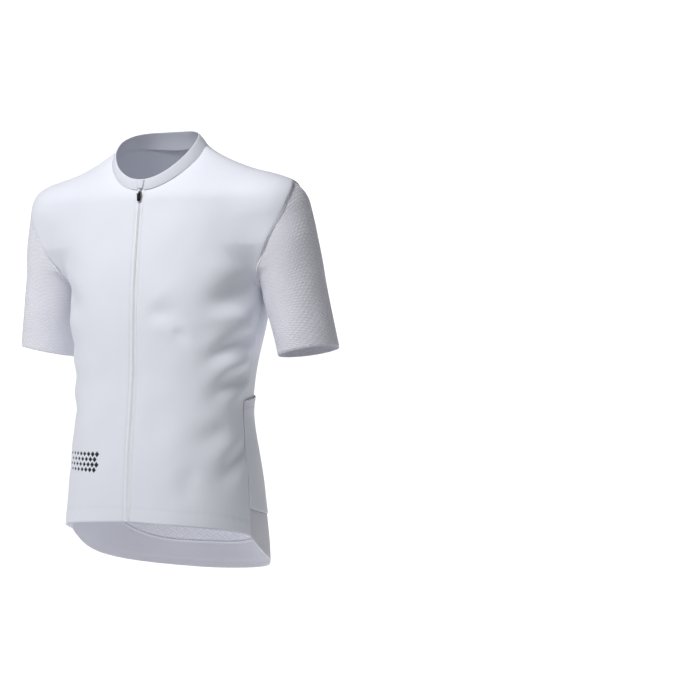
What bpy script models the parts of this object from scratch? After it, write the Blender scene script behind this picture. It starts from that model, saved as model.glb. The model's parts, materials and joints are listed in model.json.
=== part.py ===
"""A short-sleeved cycling jersey with a full-length zip, filled out as it is when worn.

Metres, +Z up. The front faces -Y and the wearer's left is +X. The origin lies between
the shoulders, at the height where the shoulder seams reach the collar.

Every cloth piece is a thin wall on one smooth skin: a torso made of horizontal sections,
joined to two slanting sleeves. The seams are curves on that skin, and a piece is the
patch between its seams, pulled back a little so that neighbours never touch.
"""

import math
from typing import NamedTuple

import bmesh
import bpy
import numpy as np

# ---------------------------------------------------------------- driving sizes
CLOTH = 0.0012              # wall of the body fabric
COLLAR_WALL = 0.0020        # the collar is folded double
SEAM_GAP = 0.0003           # clearance between neighbouring pieces
LAYER_GAP = 0.0003          # clearance between a piece and one that lies on it

HEM_FRONT = -0.560          # height of the hem at the middle of the front
HEM_SIDE = -0.586
HEM_BACK = -0.657
TAIL_SIDE = -0.543          # the back panel ends here at the side seams
TAIL_MIDDLE = -0.563        # and here at the middle of the back
ARMPIT = -0.2165            # the row that runs from armpit to armpit

SEAM_SWING = -0.340         # below this height the side seam swings forward,
SIDE_SEAM_FORWARD = 0.023   # by this much at the hem

SHOULDER_TURN = 108         # where the shoulder seams meet the collar seam

ZIP_OPENING = 0.0052        # half of the slot that the zip fills
TAPE_INNER = 0.0020
CHAIN_HALF_WIDTH = 0.0017
CHAIN_THICKNESS = 0.0020
COLLAR_START = 0.075        # the collar begins this share of its height above the seam
GARAGE_LOW = 0.16           # the zip garage covers the collar's front from here to its top
GARAGE_TOP_HALF = 0.0070
GARAGE_FOOT_HALF = 0.0030
GARAGE_WALL = 0.0009
SLIDER_HALF_WIDTH = 0.0024
SLIDER_LENGTH = 0.0076
SLIDER_THICKNESS = 0.0015
BRIDGE_HALF_WIDTH = 0.0009
BRIDGE_WALL = 0.0006
PIVOT_ROOM = 0.00085        # half of the opening that the tab's bar turns in
TAB_HALF_WIDTH = 0.0040
TAB_FOOT_HALF = 0.0026
TAB_LENGTH = 0.0122
TAB_THICKNESS = 0.0009
TAB_HOLE = 0.0031           # the tab's hole ends this far below its pivot
STOP_HALF_WIDTH = 0.0036
STOP_HEIGHT = 0.0050

POCKET_TOP_MIDDLE = -0.371
POCKET_TOP_SIDE = -0.384
POCKET_DIVIDER = 0.0565     # X of the seams between the three pockets
POCKET_BAND = 0.011         # height of the elastic at the mouths
POCKET_SLACK = 0.0085       # how far an empty mouth stands off the back
STRIP_HEIGHT = 0.0072
STRIP_WALL = 0.0008

CRESCENT_END = 0.138        # X where the textured tail panel ends
CRESCENT_DROP = 0.051       # its height at the middle of the back
CRESCENT_ROUND = 3.4        # exponent of its lower edge

SHOULDER_JOINT = np.array((0.185, -0.016, -0.104))
CUFF_CENTRE = np.array((0.2235, 0.012, -0.3105))
CUFF_LIFT = 0.06            # a cuff is cut higher at the front than square to the arm
SLEEVE_DEPTH_RATIO = 1.16   # a sleeve is deeper than it is wide
BLEND_SHOULDER = 0.055      # how softly sleeve and torso flow together
BLEND_ARMPIT = 0.006

# ---------------------------------------------------------------- grid counts
COLUMNS_NECK = 6            # columns of a half panel that end at the neckline
COLUMNS_SHOULDER = 5        # and at the shoulder seam
COLUMNS_CENTRE = 3          # columns of the back's half that lie on the centre pocket
ROWS_SIDE = 12
ROWS_POCKET = 6
ROWS_BACK = 5               # rows of the back between pockets and armpits
ROWS_ARMHOLE = 10
ROWS_SLEEVE = 8


class Section(NamedTuple):
    """A horizontal section of the torso: half width, reach to front and back, Y of the widest line."""

    height: float
    half_width: float
    front: float
    back: float
    widest: float
    squareness: float


TORSO = (
    Section(-0.700, 0.1570, -0.147, 0.112, -0.014, 2.50),
    Section(-0.620, 0.1555, -0.147, 0.110, -0.014, 2.50),
    Section(-0.560, 0.1520, -0.146, 0.103, -0.016, 2.50),
    Section(-0.500, 0.1455, -0.143, 0.093, -0.020, 2.50),
    Section(-0.445, 0.1385, -0.138, 0.080, -0.024, 2.45),
    Section(-0.395, 0.1350, -0.131, 0.069, -0.027, 2.40),
    Section(-0.350, 0.1400, -0.126, 0.074, -0.023, 2.40),
    Section(-0.300, 0.1465, -0.125, 0.086, -0.015, 2.45),
    Section(-0.250, 0.1525, -0.125, 0.097, -0.008, 2.50),
    Section(-0.216, 0.1572, -0.123, 0.102, -0.004, 2.50),
    Section(-0.170, 0.1660, -0.118, 0.104, -0.005, 2.45),
    Section(-0.130, 0.1780, -0.112, 0.101, -0.008, 2.30),
    Section(-0.095, 0.1930, -0.107, 0.093, -0.012, 2.15),
    Section(-0.070, 0.2060, -0.104, 0.083, -0.016, 2.00),
    Section(-0.053, 0.1880, -0.089, 0.072, -0.019, 2.00),
    Section(-0.037, 0.1490, -0.078, 0.061, -0.024, 2.00),
    Section(-0.020, 0.1090, -0.066, 0.046, -0.030, 2.00),
    Section(-0.004, 0.0780, -0.052, 0.028, -0.034, 2.05),
    Section(0.012, 0.0640, -0.045, 0.018, -0.036, 2.10),
    Section(0.050, 0.0550, -0.038, 0.010, -0.036, 2.10),
)
SECTION_EASE = 0.014        # sections flow into each other over this height


class NeckRing(NamedTuple):
    """An edge of the collar: its plan, and its height as a mean, a tilt to the front and a saddle."""

    half_width: float
    half_depth: float
    middle: float
    mean: float
    tilt: float
    saddle: float


NECK = (
    NeckRing(0.0750, 0.0610, -0.0410, -0.0202, -0.0368, -0.0125),
    NeckRing(0.0650, 0.0520, -0.0510, -0.0035, -0.0418, -0.0085),
)


class Ring(NamedTuple):
    """The sleeve's radius at a share of the way from the shoulder joint to the cuff."""

    share: float
    radius: float


SLEEVE = (
    Ring(0.00, 0.0480),
    Ring(0.10, 0.0500),
    Ring(0.25, 0.0495),
    Ring(0.45, 0.0468),
    Ring(0.65, 0.0460),
    Ring(1.00, 0.0450),
    Ring(1.30, 0.0445),
)
SHOULDER_MIDDLE = (0.140, -0.025, -0.031)

# The armhole seam, from the armpit up to the shoulder tip, by way of the front and of the back.
ARMPIT_POINT = (0.1572, -0.004, ARMPIT)
SHOULDER_TIP = (0.2030, -0.018, -0.0620)
ARMHOLE_FRONT = (
    ARMPIT_POINT,
    (0.160, -0.034, -0.202),
    (0.175, -0.054, -0.174),
    (0.194, -0.054, -0.130),
    (0.2015, -0.040, -0.090),
    SHOULDER_TIP,
)
ARMHOLE_BACK = (
    ARMPIT_POINT,
    (0.160, 0.034, -0.188),
    (0.168, 0.060, -0.160),
    (0.181, 0.058, -0.118),
    (0.194, 0.026, -0.080),
    SHOULDER_TIP,
)

# ---------------------------------------------------------------- finishes
class Finish(NamedTuple):
    """A plain material: its colour, roughness and metallic value."""

    colour: tuple
    roughness: float
    metallic: float


SMOOTH_KNIT = Finish((0.80, 0.81, 0.86), 0.62, 0.0)
TEXTURED_KNIT = Finish((0.76, 0.76, 0.80), 0.75, 0.0)
HEM_KNIT = Finish((0.72, 0.72, 0.76), 0.65, 0.0)
ZIP_WHITE = Finish((0.84, 0.84, 0.87), 0.45, 0.0)
REFLECTIVE = Finish((0.30, 0.32, 0.36), 0.30, 0.3)
BLACK_METAL = Finish((0.02, 0.02, 0.022), 0.35, 0.6)


# ================================================================ the skin
def column(table, name, where):
    """A column of a table, read between its rows and averaged so that it has no kinks."""
    spans = [getattr(row, name) for row in table]
    places = [row[0] for row in table]
    ease = SECTION_EASE if table is TORSO else 0.1
    shifts = np.linspace(-ease, ease, 9)
    return np.mean([np.interp(where + s, places, spans) for s in shifts], axis=0)


def torso_distance(points):
    """Signed distance, measured level from the middle of the section, to the torso."""
    height = points[:, 2]
    half_width = column(TORSO, "half_width", height)
    widest = column(TORSO, "widest", height)
    squareness = column(TORSO, "squareness", height)
    across = np.abs(points[:, 0])
    along = points[:, 1] - widest
    depth = np.where(
        along < 0,
        widest - column(TORSO, "front", height),
        column(TORSO, "back", height) - widest,
    )
    size = (across / half_width) ** squareness + (np.abs(along) / depth) ** squareness
    size = np.maximum(size, 1e-9) ** (1 / squareness)
    return np.hypot(across, along) * (1 - 1 / size)


def sleeve_distance(points):
    """Signed distance to the sleeve on the side that the point is on."""
    axis = CUFF_CENTRE - SHOULDER_JOINT
    folded = points * 1.0
    folded[:, 0] = np.abs(folded[:, 0])
    share = np.maximum((folded - SHOULDER_JOINT) @ axis / (axis @ axis), 0)
    away = folded - (SHOULDER_JOINT + share[:, None] * axis)
    away[:, 1] /= SLEEVE_DEPTH_RATIO
    return np.linalg.norm(away, axis=1) - column(SLEEVE, "radius", share)


def skin_distance(points):
    """Signed distance to torso and sleeves together, with a soft join between them."""
    torso, sleeve = torso_distance(points), sleeve_distance(points)
    rise = np.clip((points[:, 2] - ARMPIT) / 0.065, 0, 1)
    soft = BLEND_ARMPIT + (BLEND_SHOULDER - BLEND_ARMPIT) * rise
    near = np.maximum(soft - np.abs(torso - sleeve), 0) / soft
    return np.minimum(torso, sleeve) - near**2 * soft / 4


def sleeve_skin(points):
    """Like the skin, but below the armpit the torso is out of the sleeve's way."""
    low = 1 - np.clip((points[:, 2] - ARMPIT) / 0.03, 0, 1)
    torso, sleeve = torso_distance(points) + 0.04 * low, sleeve_distance(points)
    near = np.maximum(BLEND_SHOULDER * 0.7 - np.abs(torso - sleeve), 0) / BLEND_SHOULDER / 0.7
    return np.minimum(torso, sleeve) - near**2 * BLEND_SHOULDER * 0.7 / 4


def slope(points, distance=skin_distance, step=2e-4):
    """Gradient of a distance at each point."""
    shifts = np.eye(3) * step
    sides = [distance(points + s) - distance(points - s) for s in shifts]
    return np.stack(sides, axis=1) / (2 * step)


def onto_skin(points, distance=skin_distance):
    """The points moved to the skin, each the short way."""
    points = np.array(points, float)
    shape = points.shape
    points = points.reshape(-1, 3)
    for _ in range(12):
        grade = slope(points, distance)
        steep = np.maximum((grade**2).sum(1), 0.05)
        points = points - (distance(points) / steep)[:, None] * grade
    return points.reshape(shape)


def outward(points, distance=skin_distance):
    """Unit normals of the skin at the points."""
    shape = np.shape(points)
    grade = slope(np.reshape(points, (-1, 3)), distance)
    return (grade / np.linalg.norm(grade, axis=1)[:, None]).reshape(shape)


# ================================================================ curves and patches
def evenly(points, count):
    """count + 1 points at equal steps along a line through the given ones."""
    points = np.asarray(points, float)
    steps = np.linalg.norm(np.diff(points, axis=0), axis=1)
    travelled = np.concatenate([[0], np.cumsum(steps)])
    wanted = np.linspace(0, travelled[-1], count + 1)
    return np.stack([np.interp(wanted, travelled, c) for c in points.T], axis=1)


def smooth_line(points, per_span=12):
    """A smooth curve through a few points."""
    points = np.asarray(points, float)
    ends = 2 * points[0] - points[1], 2 * points[-1] - points[-2]
    padded = np.vstack([ends[0], points, ends[1]])
    found = []
    for a, b, c, d in zip(padded, padded[1:], padded[2:], padded[3:]):
        for t in np.arange(per_span) / per_span:
            cubic = -a + 3 * b - 3 * c + d
            square = 2 * a - 5 * b + 4 * c - d
            found.append(0.5 * (2 * b + (c - a) * t + square * t**2 + cubic * t**3))
    return np.array(found + [points[-1]])


def patch(bottom, top, start, end):
    """A grid spanned by its four edges, laid on the skin. Rows run from bottom to top."""
    v = np.linspace(0, 1, len(start))[:, None, None]
    u = np.linspace(0, 1, len(bottom))[None, :, None]
    rows = (1 - v) * bottom[None] + v * top[None]
    columns = (1 - u) * start[:, None] + u * end[:, None]
    corners = (1 - v) * ((1 - u) * bottom[0] + u * bottom[-1])
    corners = corners + v * ((1 - u) * top[0] + u * top[-1])
    grid = rows + columns - corners
    grid[1:-1, 1:-1] = onto_skin(grid[1:-1, 1:-1])
    return grid


def mirrored(grid):
    """The same patch on the wearer's other side."""
    return grid * np.array((-1, 1, 1))


def across_middle(half):
    """A whole patch from a half whose first column lies on the middle line."""
    return np.concatenate([mirrored(half)[:, :0:-1], half], axis=1)


# ================================================================ seams, on the wearer's left
def neck_point(turn, up=0.0):
    """Points of the collar at turns about the neck, from its seam (0) up to its top edge (1)."""
    angle = np.radians(turn)
    low, high = np.array(NECK[0]), np.array(NECK[1])
    width, depth, middle, mean, tilt, saddle = low + (high - low) * up
    across, along = width * np.sin(angle), middle - depth * np.cos(angle)
    height = mean + tilt * np.cos(angle) + saddle * np.cos(2 * angle)
    return np.stack([across, along, height], axis=-1)


def neckline(count, start_turn, end_turn):
    """Points of the collar seam between two turns about the neck."""
    return neck_point(np.linspace(start_turn, end_turn, count + 1))


def side_y(height):
    """How far back the side seam lies at a height."""
    swing = np.clip((SEAM_SWING - height) / (SEAM_SWING - HEM_SIDE), 0, 1)
    return column(TORSO, "widest", height) - 0.004 - SIDE_SEAM_FORWARD * swing**1.3


def torso_arc(height, share, front):
    """Points on the torso at heights and shares of the way from the middle to the side seam."""
    height, share = np.broadcast_arrays(np.asarray(height, float), share)
    half_width, widest, squareness = (
        column(TORSO, name, height)[..., None] for name in ("half_width", "widest", "squareness"))
    depth = column(TORSO, "front" if front else "back", height)[..., None] - widest
    angle = np.linspace(0, math.pi / 2, 61)
    x = half_width * np.sin(angle) ** (2 / squareness)
    y = widest + depth * np.cos(angle) ** (2 / squareness)
    turn_y = side_y(height)[..., None]
    if front:
        beyond = y > turn_y
    else:
        ahead = (column(TORSO, "front", height)[..., None] - widest) * np.cos(angle[::-1]) ** (2 / squareness)
        x = np.concatenate([x, (half_width * np.sin(angle[::-1]) ** (2 / squareness))[..., 1:]], -1)
        y = np.concatenate([y, (widest + ahead)[..., 1:]], -1)
        beyond = y < turn_y
    steps = np.hypot(np.diff(x), np.diff(y))
    travelled = np.concatenate([np.zeros_like(steps[..., :1]), np.cumsum(steps, -1)], -1)
    found = np.empty(height.shape + (3,))
    for at in np.ndindex(height.shape):
        last = int(np.argmax(beyond[at]))
        part = (turn_y[at][0] - y[at][last - 1]) / (y[at][last] - y[at][last - 1])
        reach = travelled[at][last - 1] + part * steps[at][last - 1]
        first = ZIP_OPENING if front else 0.0
        wanted = first + (reach - first) * share[at]
        found[at] = (np.interp(wanted, travelled[at], x[at]), np.interp(wanted, travelled[at], y[at]), height[at])
    return found


def share_at(across, height):
    """The share of the back's arc at a distance from the middle line."""
    shares = np.linspace(0, 0.9, 91)
    return float(np.interp(across, torso_arc(height, shares, False)[:, 0], shares))


def sheet_between(low, high, shares, rows, front):
    """A patch of the torso between two lines of heights, given at shares of the arc."""
    rise = np.asarray(rows)[:, None]
    heights = (1 - rise) * np.asarray(low)[None] + rise * np.asarray(high)[None]
    return torso_arc(heights, np.broadcast_to(shares, heights.shape), front)


def rows_of(count, ease=1.0):
    """Evenly spread rows from 0 to 1."""
    return np.linspace(0, 1, count + 1) ** ease


def hem_height(shares, front):
    """Height of the hem: level lines at the two middles, steeper by the side seam."""
    shares = np.asarray(shares, float)
    if front:
        return HEM_FRONT + (HEM_SIDE - HEM_FRONT) * (0.35 * shares + 0.65 * shares**3)
    return HEM_BACK + (HEM_SIDE - HEM_BACK) * (0.5 * shares**2 + 0.5 * shares**4)


def tail_height(shares):
    """Height of the seam at the foot of the back panel."""
    shares = np.asarray(shares, float)
    return TAIL_MIDDLE + (TAIL_SIDE - TAIL_MIDDLE) * shares**4


def pocket_top(shares):
    """Height of the pocket mouths."""
    return POCKET_TOP_MIDDLE + (POCKET_TOP_SIDE - POCKET_TOP_MIDDLE) * shares**2


def panel_shares(front):
    """Shares of the arc at a half panel's columns. The back has one on each pocket divider."""
    count = COLUMNS_NECK + COLUMNS_SHOULDER
    if front:
        return rows_of(count)
    divider = share_at(POCKET_DIVIDER, (POCKET_TOP_MIDDLE + TAIL_MIDDLE) / 2)
    centre = divider * rows_of(COLUMNS_CENTRE)
    return np.concatenate([centre, divider + (1 - divider) * rows_of(count - COLUMNS_CENTRE)[1:]])


def armhole(points, count):
    """The armhole seam from the armpit to the shoulder tip."""
    line = smooth_line(points)
    line[1:] = onto_skin(line[1:])
    return evenly(line, count)


def upper_half(front):
    """The half panel above the armpit row: middle line, neckline, shoulder seam and armhole."""
    low = torso_arc(ARMPIT, panel_shares(front), front)
    low[-1] = ARMPIT_POINT
    shoulder = smooth_line((neck_point(SHOULDER_TURN), SHOULDER_MIDDLE, SHOULDER_TIP))
    shoulder[1:-1] = onto_skin(shoulder[1:-1])
    arm = armhole(ARMHOLE_FRONT if front else ARMHOLE_BACK, ROWS_ARMHOLE)
    shoulder[-1] = arm[-1]
    shoulder = evenly(shoulder, COLUMNS_SHOULDER)
    if front:
        start = math.degrees(math.asin(ZIP_OPENING / NECK[0].half_width))
        neck = neckline(COLUMNS_NECK, start, SHOULDER_TURN)
    else:
        neck = neckline(COLUMNS_NECK, 180, SHOULDER_TURN)
    top = np.vstack([neck, shoulder[1:]])
    middle = np.linspace(low[0], top[0], 31)
    middle[1:-1] = onto_skin(middle[1:-1])
    middle[:, 0] = low[0][0]
    return patch(low, top, evenly(middle, ROWS_ARMHOLE), arm)


def front_grid():
    """The wearer's left front, from the hem to the neckline."""
    shares = panel_shares(True)
    lower = sheet_between(hem_height(shares, True), ARMPIT, shares, rows_of(ROWS_SIDE), True)
    upper = upper_half(True)
    lower[-1] = upper[0]
    return np.concatenate([lower[:-1], upper])


def back_grid():
    """The back panel's wearer's left half, from the foot of the pockets to the neckline."""
    shares = panel_shares(False)
    mouth = pocket_top(shares)
    pocket = sheet_between(tail_height(shares), mouth - POCKET_BAND, shares, rows_of(ROWS_POCKET), False)
    lower = sheet_between(mouth, ARMPIT, shares, rows_of(ROWS_BACK), False)
    return np.concatenate([pocket, lower[:-1], upper_half(False)])


def sleeve_grid():
    """The wearer's left sleeve: rows of rings from the cuff up to the armhole, armpit first."""
    front = armhole(ARMHOLE_FRONT, ROWS_ARMHOLE)
    back = armhole(ARMHOLE_BACK, ROWS_ARMHOLE)
    loop = np.vstack([front, back[-2:0:-1]])
    axis = CUFF_CENTRE - SHOULDER_JOINT
    axis = axis / np.linalg.norm(axis)
    ahead = np.array((0.0, -1.0, CUFF_LIFT))
    inwards = np.array((axis[2], 0.0, -axis[0])) / math.hypot(axis[0], axis[2])
    angle = np.linspace(0, 2 * math.pi, len(loop), endpoint=False)[:, None]
    radius = float(column(SLEEVE, "radius", np.array(1.0)))
    ratio = SLEEVE_DEPTH_RATIO
    cuff = CUFF_CENTRE + radius * (np.cos(angle) * inwards + ratio * np.sin(angle) * ahead)
    rise = rows_of(ROWS_SLEEVE)[:, None, None]
    grid = cuff[None] * (1 - rise) + loop[None] * rise
    grid[:-1] = onto_skin(grid[:-1], sleeve_skin)
    grid[0] = cuff
    return grid


# ================================================================ solids
def material(name, finish):
    """A Principled material with the finish's colour, roughness and metallic value."""
    made = bpy.data.materials.get(name)
    if made:
        return made
    made = bpy.data.materials.new(name)
    made.use_nodes = True
    shader = made.node_tree.nodes["Principled BSDF"]
    shader.inputs["Base Color"].default_value = (*finish.colour, 1.0)
    shader.inputs["Roughness"].default_value = finish.roughness
    shader.inputs["Metallic"].default_value = finish.metallic
    made.diffuse_color = (*finish.colour, 1.0)
    return made


def finish_object(name, look, bm):
    """A named object in the scene from a bmesh, facing out and shaded smooth."""
    bmesh.ops.recalc_face_normals(bm, faces=bm.faces)
    mesh = bpy.data.meshes.new(name)
    bm.to_mesh(mesh)
    bm.free()
    mesh.shade_smooth()
    mesh.set_sharp_from_angle(angle=math.radians(40))
    made = bpy.data.objects.new(name, mesh)
    mesh.materials.append(material(*look))
    bpy.context.scene.collection.objects.link(made)
    return made


def normals_of(grid, ring=False):
    """Unit normals of a grid from its own rows and columns, on the side away from the middle."""
    wide = np.concatenate([grid[:, -1:], grid, grid[:, :1]], 1) if ring else grid
    along = np.gradient(wide, axis=1)
    along = along[:, 1:-1] if ring else along
    normal = np.cross(along, np.gradient(grid, axis=0))
    normal /= np.linalg.norm(normal, axis=-1, keepdims=True)
    away = (grid - grid.mean(axis=(0, 1))) if ring else grid - np.array((0, -0.02, 0)) * 1.0
    if not ring:
        away = away * np.array((1, 1, 0))
    return normal if (normal * away).sum() > 0 else -normal


def wall(name, look, outer, inner, ring=False):
    """A closed wall between two grids of the same size. A ring joins its last column to its first."""
    rows, columns = outer.shape[0] - 1, outer.shape[1] - 1 + ring
    bm = bmesh.new()
    bmesh.ops.create_grid(bm, x_segments=columns, y_segments=rows, size=1.0)
    cells = {}
    for vertex in bm.verts:
        at_column = round((vertex.co.x + 1) / 2 * columns)
        at_row = round((vertex.co.y + 1) / 2 * rows)
        cells[vertex] = at_row, at_column % outer.shape[1]
    twins = bmesh.ops.duplicate(bm, geom=bm.verts[:] + bm.edges[:] + bm.faces[:])["vert_map"]
    for vertex, cell in cells.items():
        vertex.co = inner[cell]
        twins[vertex].co = outer[cell]
    if ring:
        bmesh.ops.remove_doubles(bm, verts=bm.verts, dist=1e-7)
        ends = [set(v for v in bm.verts if v.is_boundary)]
        middle = sum(v.co.z for v in ends[0]) / len(ends[0])
        for above in (True, False):
            rim = [e for e in bm.edges if e.is_boundary and (e.verts[0].co.z > middle) == above]
            bmesh.ops.bridge_loops(bm, edges=rim)
    else:
        bmesh.ops.bridge_loops(bm, edges=[e for e in bm.edges if e.is_boundary])
    return finish_object(name, look, bm)


def cloth(name, look, grid, normals, thickness=CLOTH, lift=0.0, ring=False):
    """A cloth piece: an even wall about a grid, lifted off it where it lies on another piece."""
    lift = np.asarray(lift)[..., None] if np.ndim(lift) else lift
    outer = grid + normals * (lift + thickness / 2)
    inner = grid + normals * (lift - thickness / 2)
    return wall(name, look, outer, inner, ring)


def pulled(edge, inner, amount=SEAM_GAP / 2 + 0.00005, ring=False):
    """An edge moved square to itself towards the points inside it."""
    wide = np.concatenate([edge[-1:], edge, edge[:1]]) if ring else edge
    tangent = np.gradient(wide, axis=0)
    tangent = tangent[1:-1] if ring else tangent
    tangent /= np.linalg.norm(tangent, axis=-1, keepdims=True)
    step = inner - edge
    step = step - (step * tangent).sum(-1, keepdims=True) * tangent
    return edge + step / np.linalg.norm(step, axis=-1, keepdims=True) * np.reshape(amount, (-1, 1))


def fold_room(normals, others):
    """How far two walls must draw back from a seam where they meet at an angle."""
    half = np.arccos(np.clip((normals * others).sum(-1), -1, 1)) / 2
    return SEAM_GAP / 2 + 0.00015 + np.clip(CLOTH * 0.65 * np.tan(np.minimum(half, 1.45)), 0, 0.0045)


# ================================================================ the pieces
def build_body():
    """Front halves, back, sleeves."""
    front, back, sleeve = front_grid(), back_grid(), sleeve_grid()
    flat = {"front": normals_of(front), "back": normals_of(back), "sleeve": normals_of(sleeve, True)}
    count = ROWS_ARMHOLE
    at = -count - 1
    loop = flat["sleeve"][-1]
    front_room = fold_room(flat["front"][at:, -1], loop[:count + 1])
    back_room = fold_room(flat["back"][at:, -1], np.vstack([loop[:1], loop[:count - 1:-1]]))
    loop_room = np.concatenate([front_room, back_room[-2:0:-1]])
    loop_room[0] = max(front_room[0], back_room[0])
    loop_room[count] = max(front_room[-1], back_room[-1])
    sleeve[-1] = pulled(sleeve[-1], sleeve[-2], loop_room, ring=True)
    for panel, room in ((front, front_room), (back, back_room)):
        arm = pulled(panel[at:, -1], panel[at - 1:-1, -2], room)
        panel[at:, -1] = arm
        panel[:at + 1, -1] = pulled(panel[:at + 1, -1], panel[:at + 1, -2], 0.0004)
        panel[-1] = pulled(panel[-1], panel[-2])
    back[0] = pulled(back[0], back[1])
    smooth, textured = ("smooth_knit", SMOOTH_KNIT), ("textured_knit", TEXTURED_KNIT)
    cloth("front_left", smooth, front, flat["front"])
    cloth("front_right", smooth, mirrored(front), mirrored(flat["front"]))
    flat["back"][:, 0, 0] = 0
    cloth("back", smooth, across_middle(back), across_middle(flat["back"]))
    cloth("sleeve_left", textured, sleeve, flat["sleeve"], ring=True)
    cloth("sleeve_right", textured, mirrored(sleeve), mirrored(flat["sleeve"]), ring=True)


def build_collar():
    """The stand collar, open at the front."""
    start = math.degrees(math.asin(ZIP_OPENING / NECK[0].half_width))
    turns = np.linspace(start, SHOULDER_TURN, COLUMNS_NECK + 1)
    turns = np.concatenate([turns, np.linspace(SHOULDER_TURN, 180, COLUMNS_NECK + 1)[1:]])
    turns = np.concatenate([turns, 360 - turns[-2::-1]])
    grid = np.stack([neck_point(turns, up) for up in (COLLAR_START, 0.5, 1.0)])
    grid[:, 0, 0], grid[:, -1, 0] = ZIP_OPENING, -ZIP_OPENING
    cloth("collar", ("smooth_knit", SMOOTH_KNIT), grid, normals_of(grid), COLLAR_WALL)


def crescent_foot(shares, end):
    """Height of the lower edge of the textured tail panel."""
    return tail_height(shares) - CRESCENT_DROP * (1 - np.minimum(shares / end, 1) ** CRESCENT_ROUND)


def build_tail():
    """Textured tail panel, hem band and reflective strip."""
    end = share_at(CRESCENT_END, TAIL_MIDDLE)
    shares = end * 0.985 * np.linspace(0, 1, 11) ** 0.8
    half = sheet_between(crescent_foot(shares, end), tail_height(shares), shares, rows_of(3), False)
    half[-1, :, 2] -= 0.0002
    half[0, :, 2] += 0.0002
    grid = across_middle(half)
    cloth("tail_panel", ("textured_knit", TEXTURED_KNIT), grid, normals_of(grid))

    shares = np.concatenate([end * np.linspace(0, 1, 11) ** 0.8, end + (1 - end) * rows_of(3)[1:]])
    half = sheet_between(hem_height(shares, False), crescent_foot(shares, end), shares, rows_of(2), False)
    half[-1, :, 2] -= 0.0002
    half[:, -1] = pulled(half[:, -1], half[:, -2])
    grid = across_middle(half)
    cloth("hem_band", ("hem_knit", HEM_KNIT), grid, normals_of(grid))

    reach = share_at(POCKET_DIVIDER, TAIL_MIDDLE)
    shares = reach * rows_of(4)
    top = tail_height(shares) - 0.0012
    grid = across_middle(sheet_between(top - STRIP_HEIGHT, top, shares, rows_of(1), False))
    lift = CLOTH / 2 + LAYER_GAP + STRIP_WALL / 2
    cloth("reflective_strip", ("reflective", REFLECTIVE), grid, normals_of(grid), STRIP_WALL, lift)


def build_pockets():
    """Three rear pockets, each with an elastic band at its mouth."""
    shares = panel_shares(False)
    back = across_middle(back_grid())[:ROWS_POCKET + 2]
    shares = np.concatenate([-shares[:0:-1], shares])
    normals = normals_of(back)
    right, left = len(shares) // 2 - COLUMNS_CENTRE, len(shares) // 2 + COLUMNS_CENTRE
    places = {"right": (0, right), "centre": (right, left), "left": (left, len(shares) - 1)}
    for side, (first, last) in places.items():
        grid, out = back[:, first:last + 1].copy(), normals[:, first:last + 1]
        grid[:, 0] = pulled(grid[:, 0], grid[:, 1], 0.0004)
        grid[:, -1] = pulled(grid[:, -1], grid[:, -2], 0.0004)
        along = np.linalg.norm(np.diff(grid[-1], axis=0), axis=1)
        across = np.concatenate([[0], np.cumsum(along)]) / along.sum()
        up = (grid[..., 2] - grid[0, :, 2]) / (grid[-1, :, 2] - grid[0, :, 2])
        lift = CLOTH + LAYER_GAP + POCKET_SLACK * np.sin(math.pi * across) ** 1.2 * up**1.6
        low, high = grid[:-1].copy(), grid[-2:].copy()
        low[0, :, 2] += 0.0003
        low[-1] = pulled(low[-1], low[-2])
        high[0] = pulled(high[0], high[1])
        look = "smooth_knit", SMOOTH_KNIT
        cloth("pocket_" + side, look, low, out[:-1], CLOTH, lift[:-1])
        cloth("pocket_band_" + side, look, high, out[-2:], CLOTH, lift[-2:])


def middle_path():
    """The zip's way: up the middle of the front and on up the collar."""
    body = front_grid()[:, 0]
    collar = np.stack([neck_point(0, up) for up in (COLLAR_START, 0.35, 0.65, 1.0)])
    path = np.vstack([body[:-1], collar])
    path[:, 0] = 0
    return path


def strip_along(name, look, path, inner, outer, thickness, lift=0.0):
    """A strip of cloth along the zip's way, between two distances from the middle."""
    inner, outer = (np.broadcast_to(edge, len(path)) for edge in (inner, outer))
    grid = np.stack([path, path], axis=1)
    grid[:, 0, 0], grid[:, 1, 0] = inner, outer
    tangent = np.gradient(path, axis=0)
    normal = np.cross((1.0, 0.0, 0.0), tangent)
    normal /= np.linalg.norm(normal, axis=1, keepdims=True)
    normal = np.where(normal[:, 1:2] > 0, -normal, normal)
    cloth(name, look, grid, np.stack([normal, normal], axis=1), thickness, lift)


def block(name, look, low, high):
    """A box between two corners, in the frame of the slider: X across, Y outwards, Z up the zip."""
    low, high = np.array(low), np.array(high)
    bm = bmesh.new()
    bmesh.ops.create_cube(bm, size=1.0)
    for vertex in bm.verts:
        vertex.co = (low + high) / 2 + np.array(vertex.co) * (high - low)
    return finish_object(name, look, bm)


def fused(target, tool, operation):
    """The target joined with, or cut by, a tool that is used up."""
    modifier = target.modifiers.new("fuse", "BOOLEAN")
    modifier.operation, modifier.solver, modifier.object = operation, "EXACT", tool
    graph = bpy.context.evaluated_depsgraph_get()
    mesh = bpy.data.meshes.new_from_object(target.evaluated_get(graph))
    target.modifiers.clear()
    target.data = mesh
    bpy.data.objects.remove(tool)


def stand_on(made, origin, up):
    """Moves an object from the slider's frame to a place on the zip's way."""
    out = np.array((0.0, up[2], -up[1]))
    out = out if out[1] < 0 else -out
    for vertex in made.data.vertices:
        x, y, z = vertex.co
        vertex.co = origin + np.array((x, 0, 0)) + out * y + np.array(up) * z
    made.data.flip_normals()


def slider_place():
    """Where the zip's slider sits: its middle on the zip's way, and the way up."""
    path = middle_path()
    middle = (path[-4] + path[-5]) / 2
    below = path[-5] + (path[-6] - path[-5]) * 0.5
    up = path[-4] - below
    return middle, up / np.linalg.norm(up)


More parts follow.
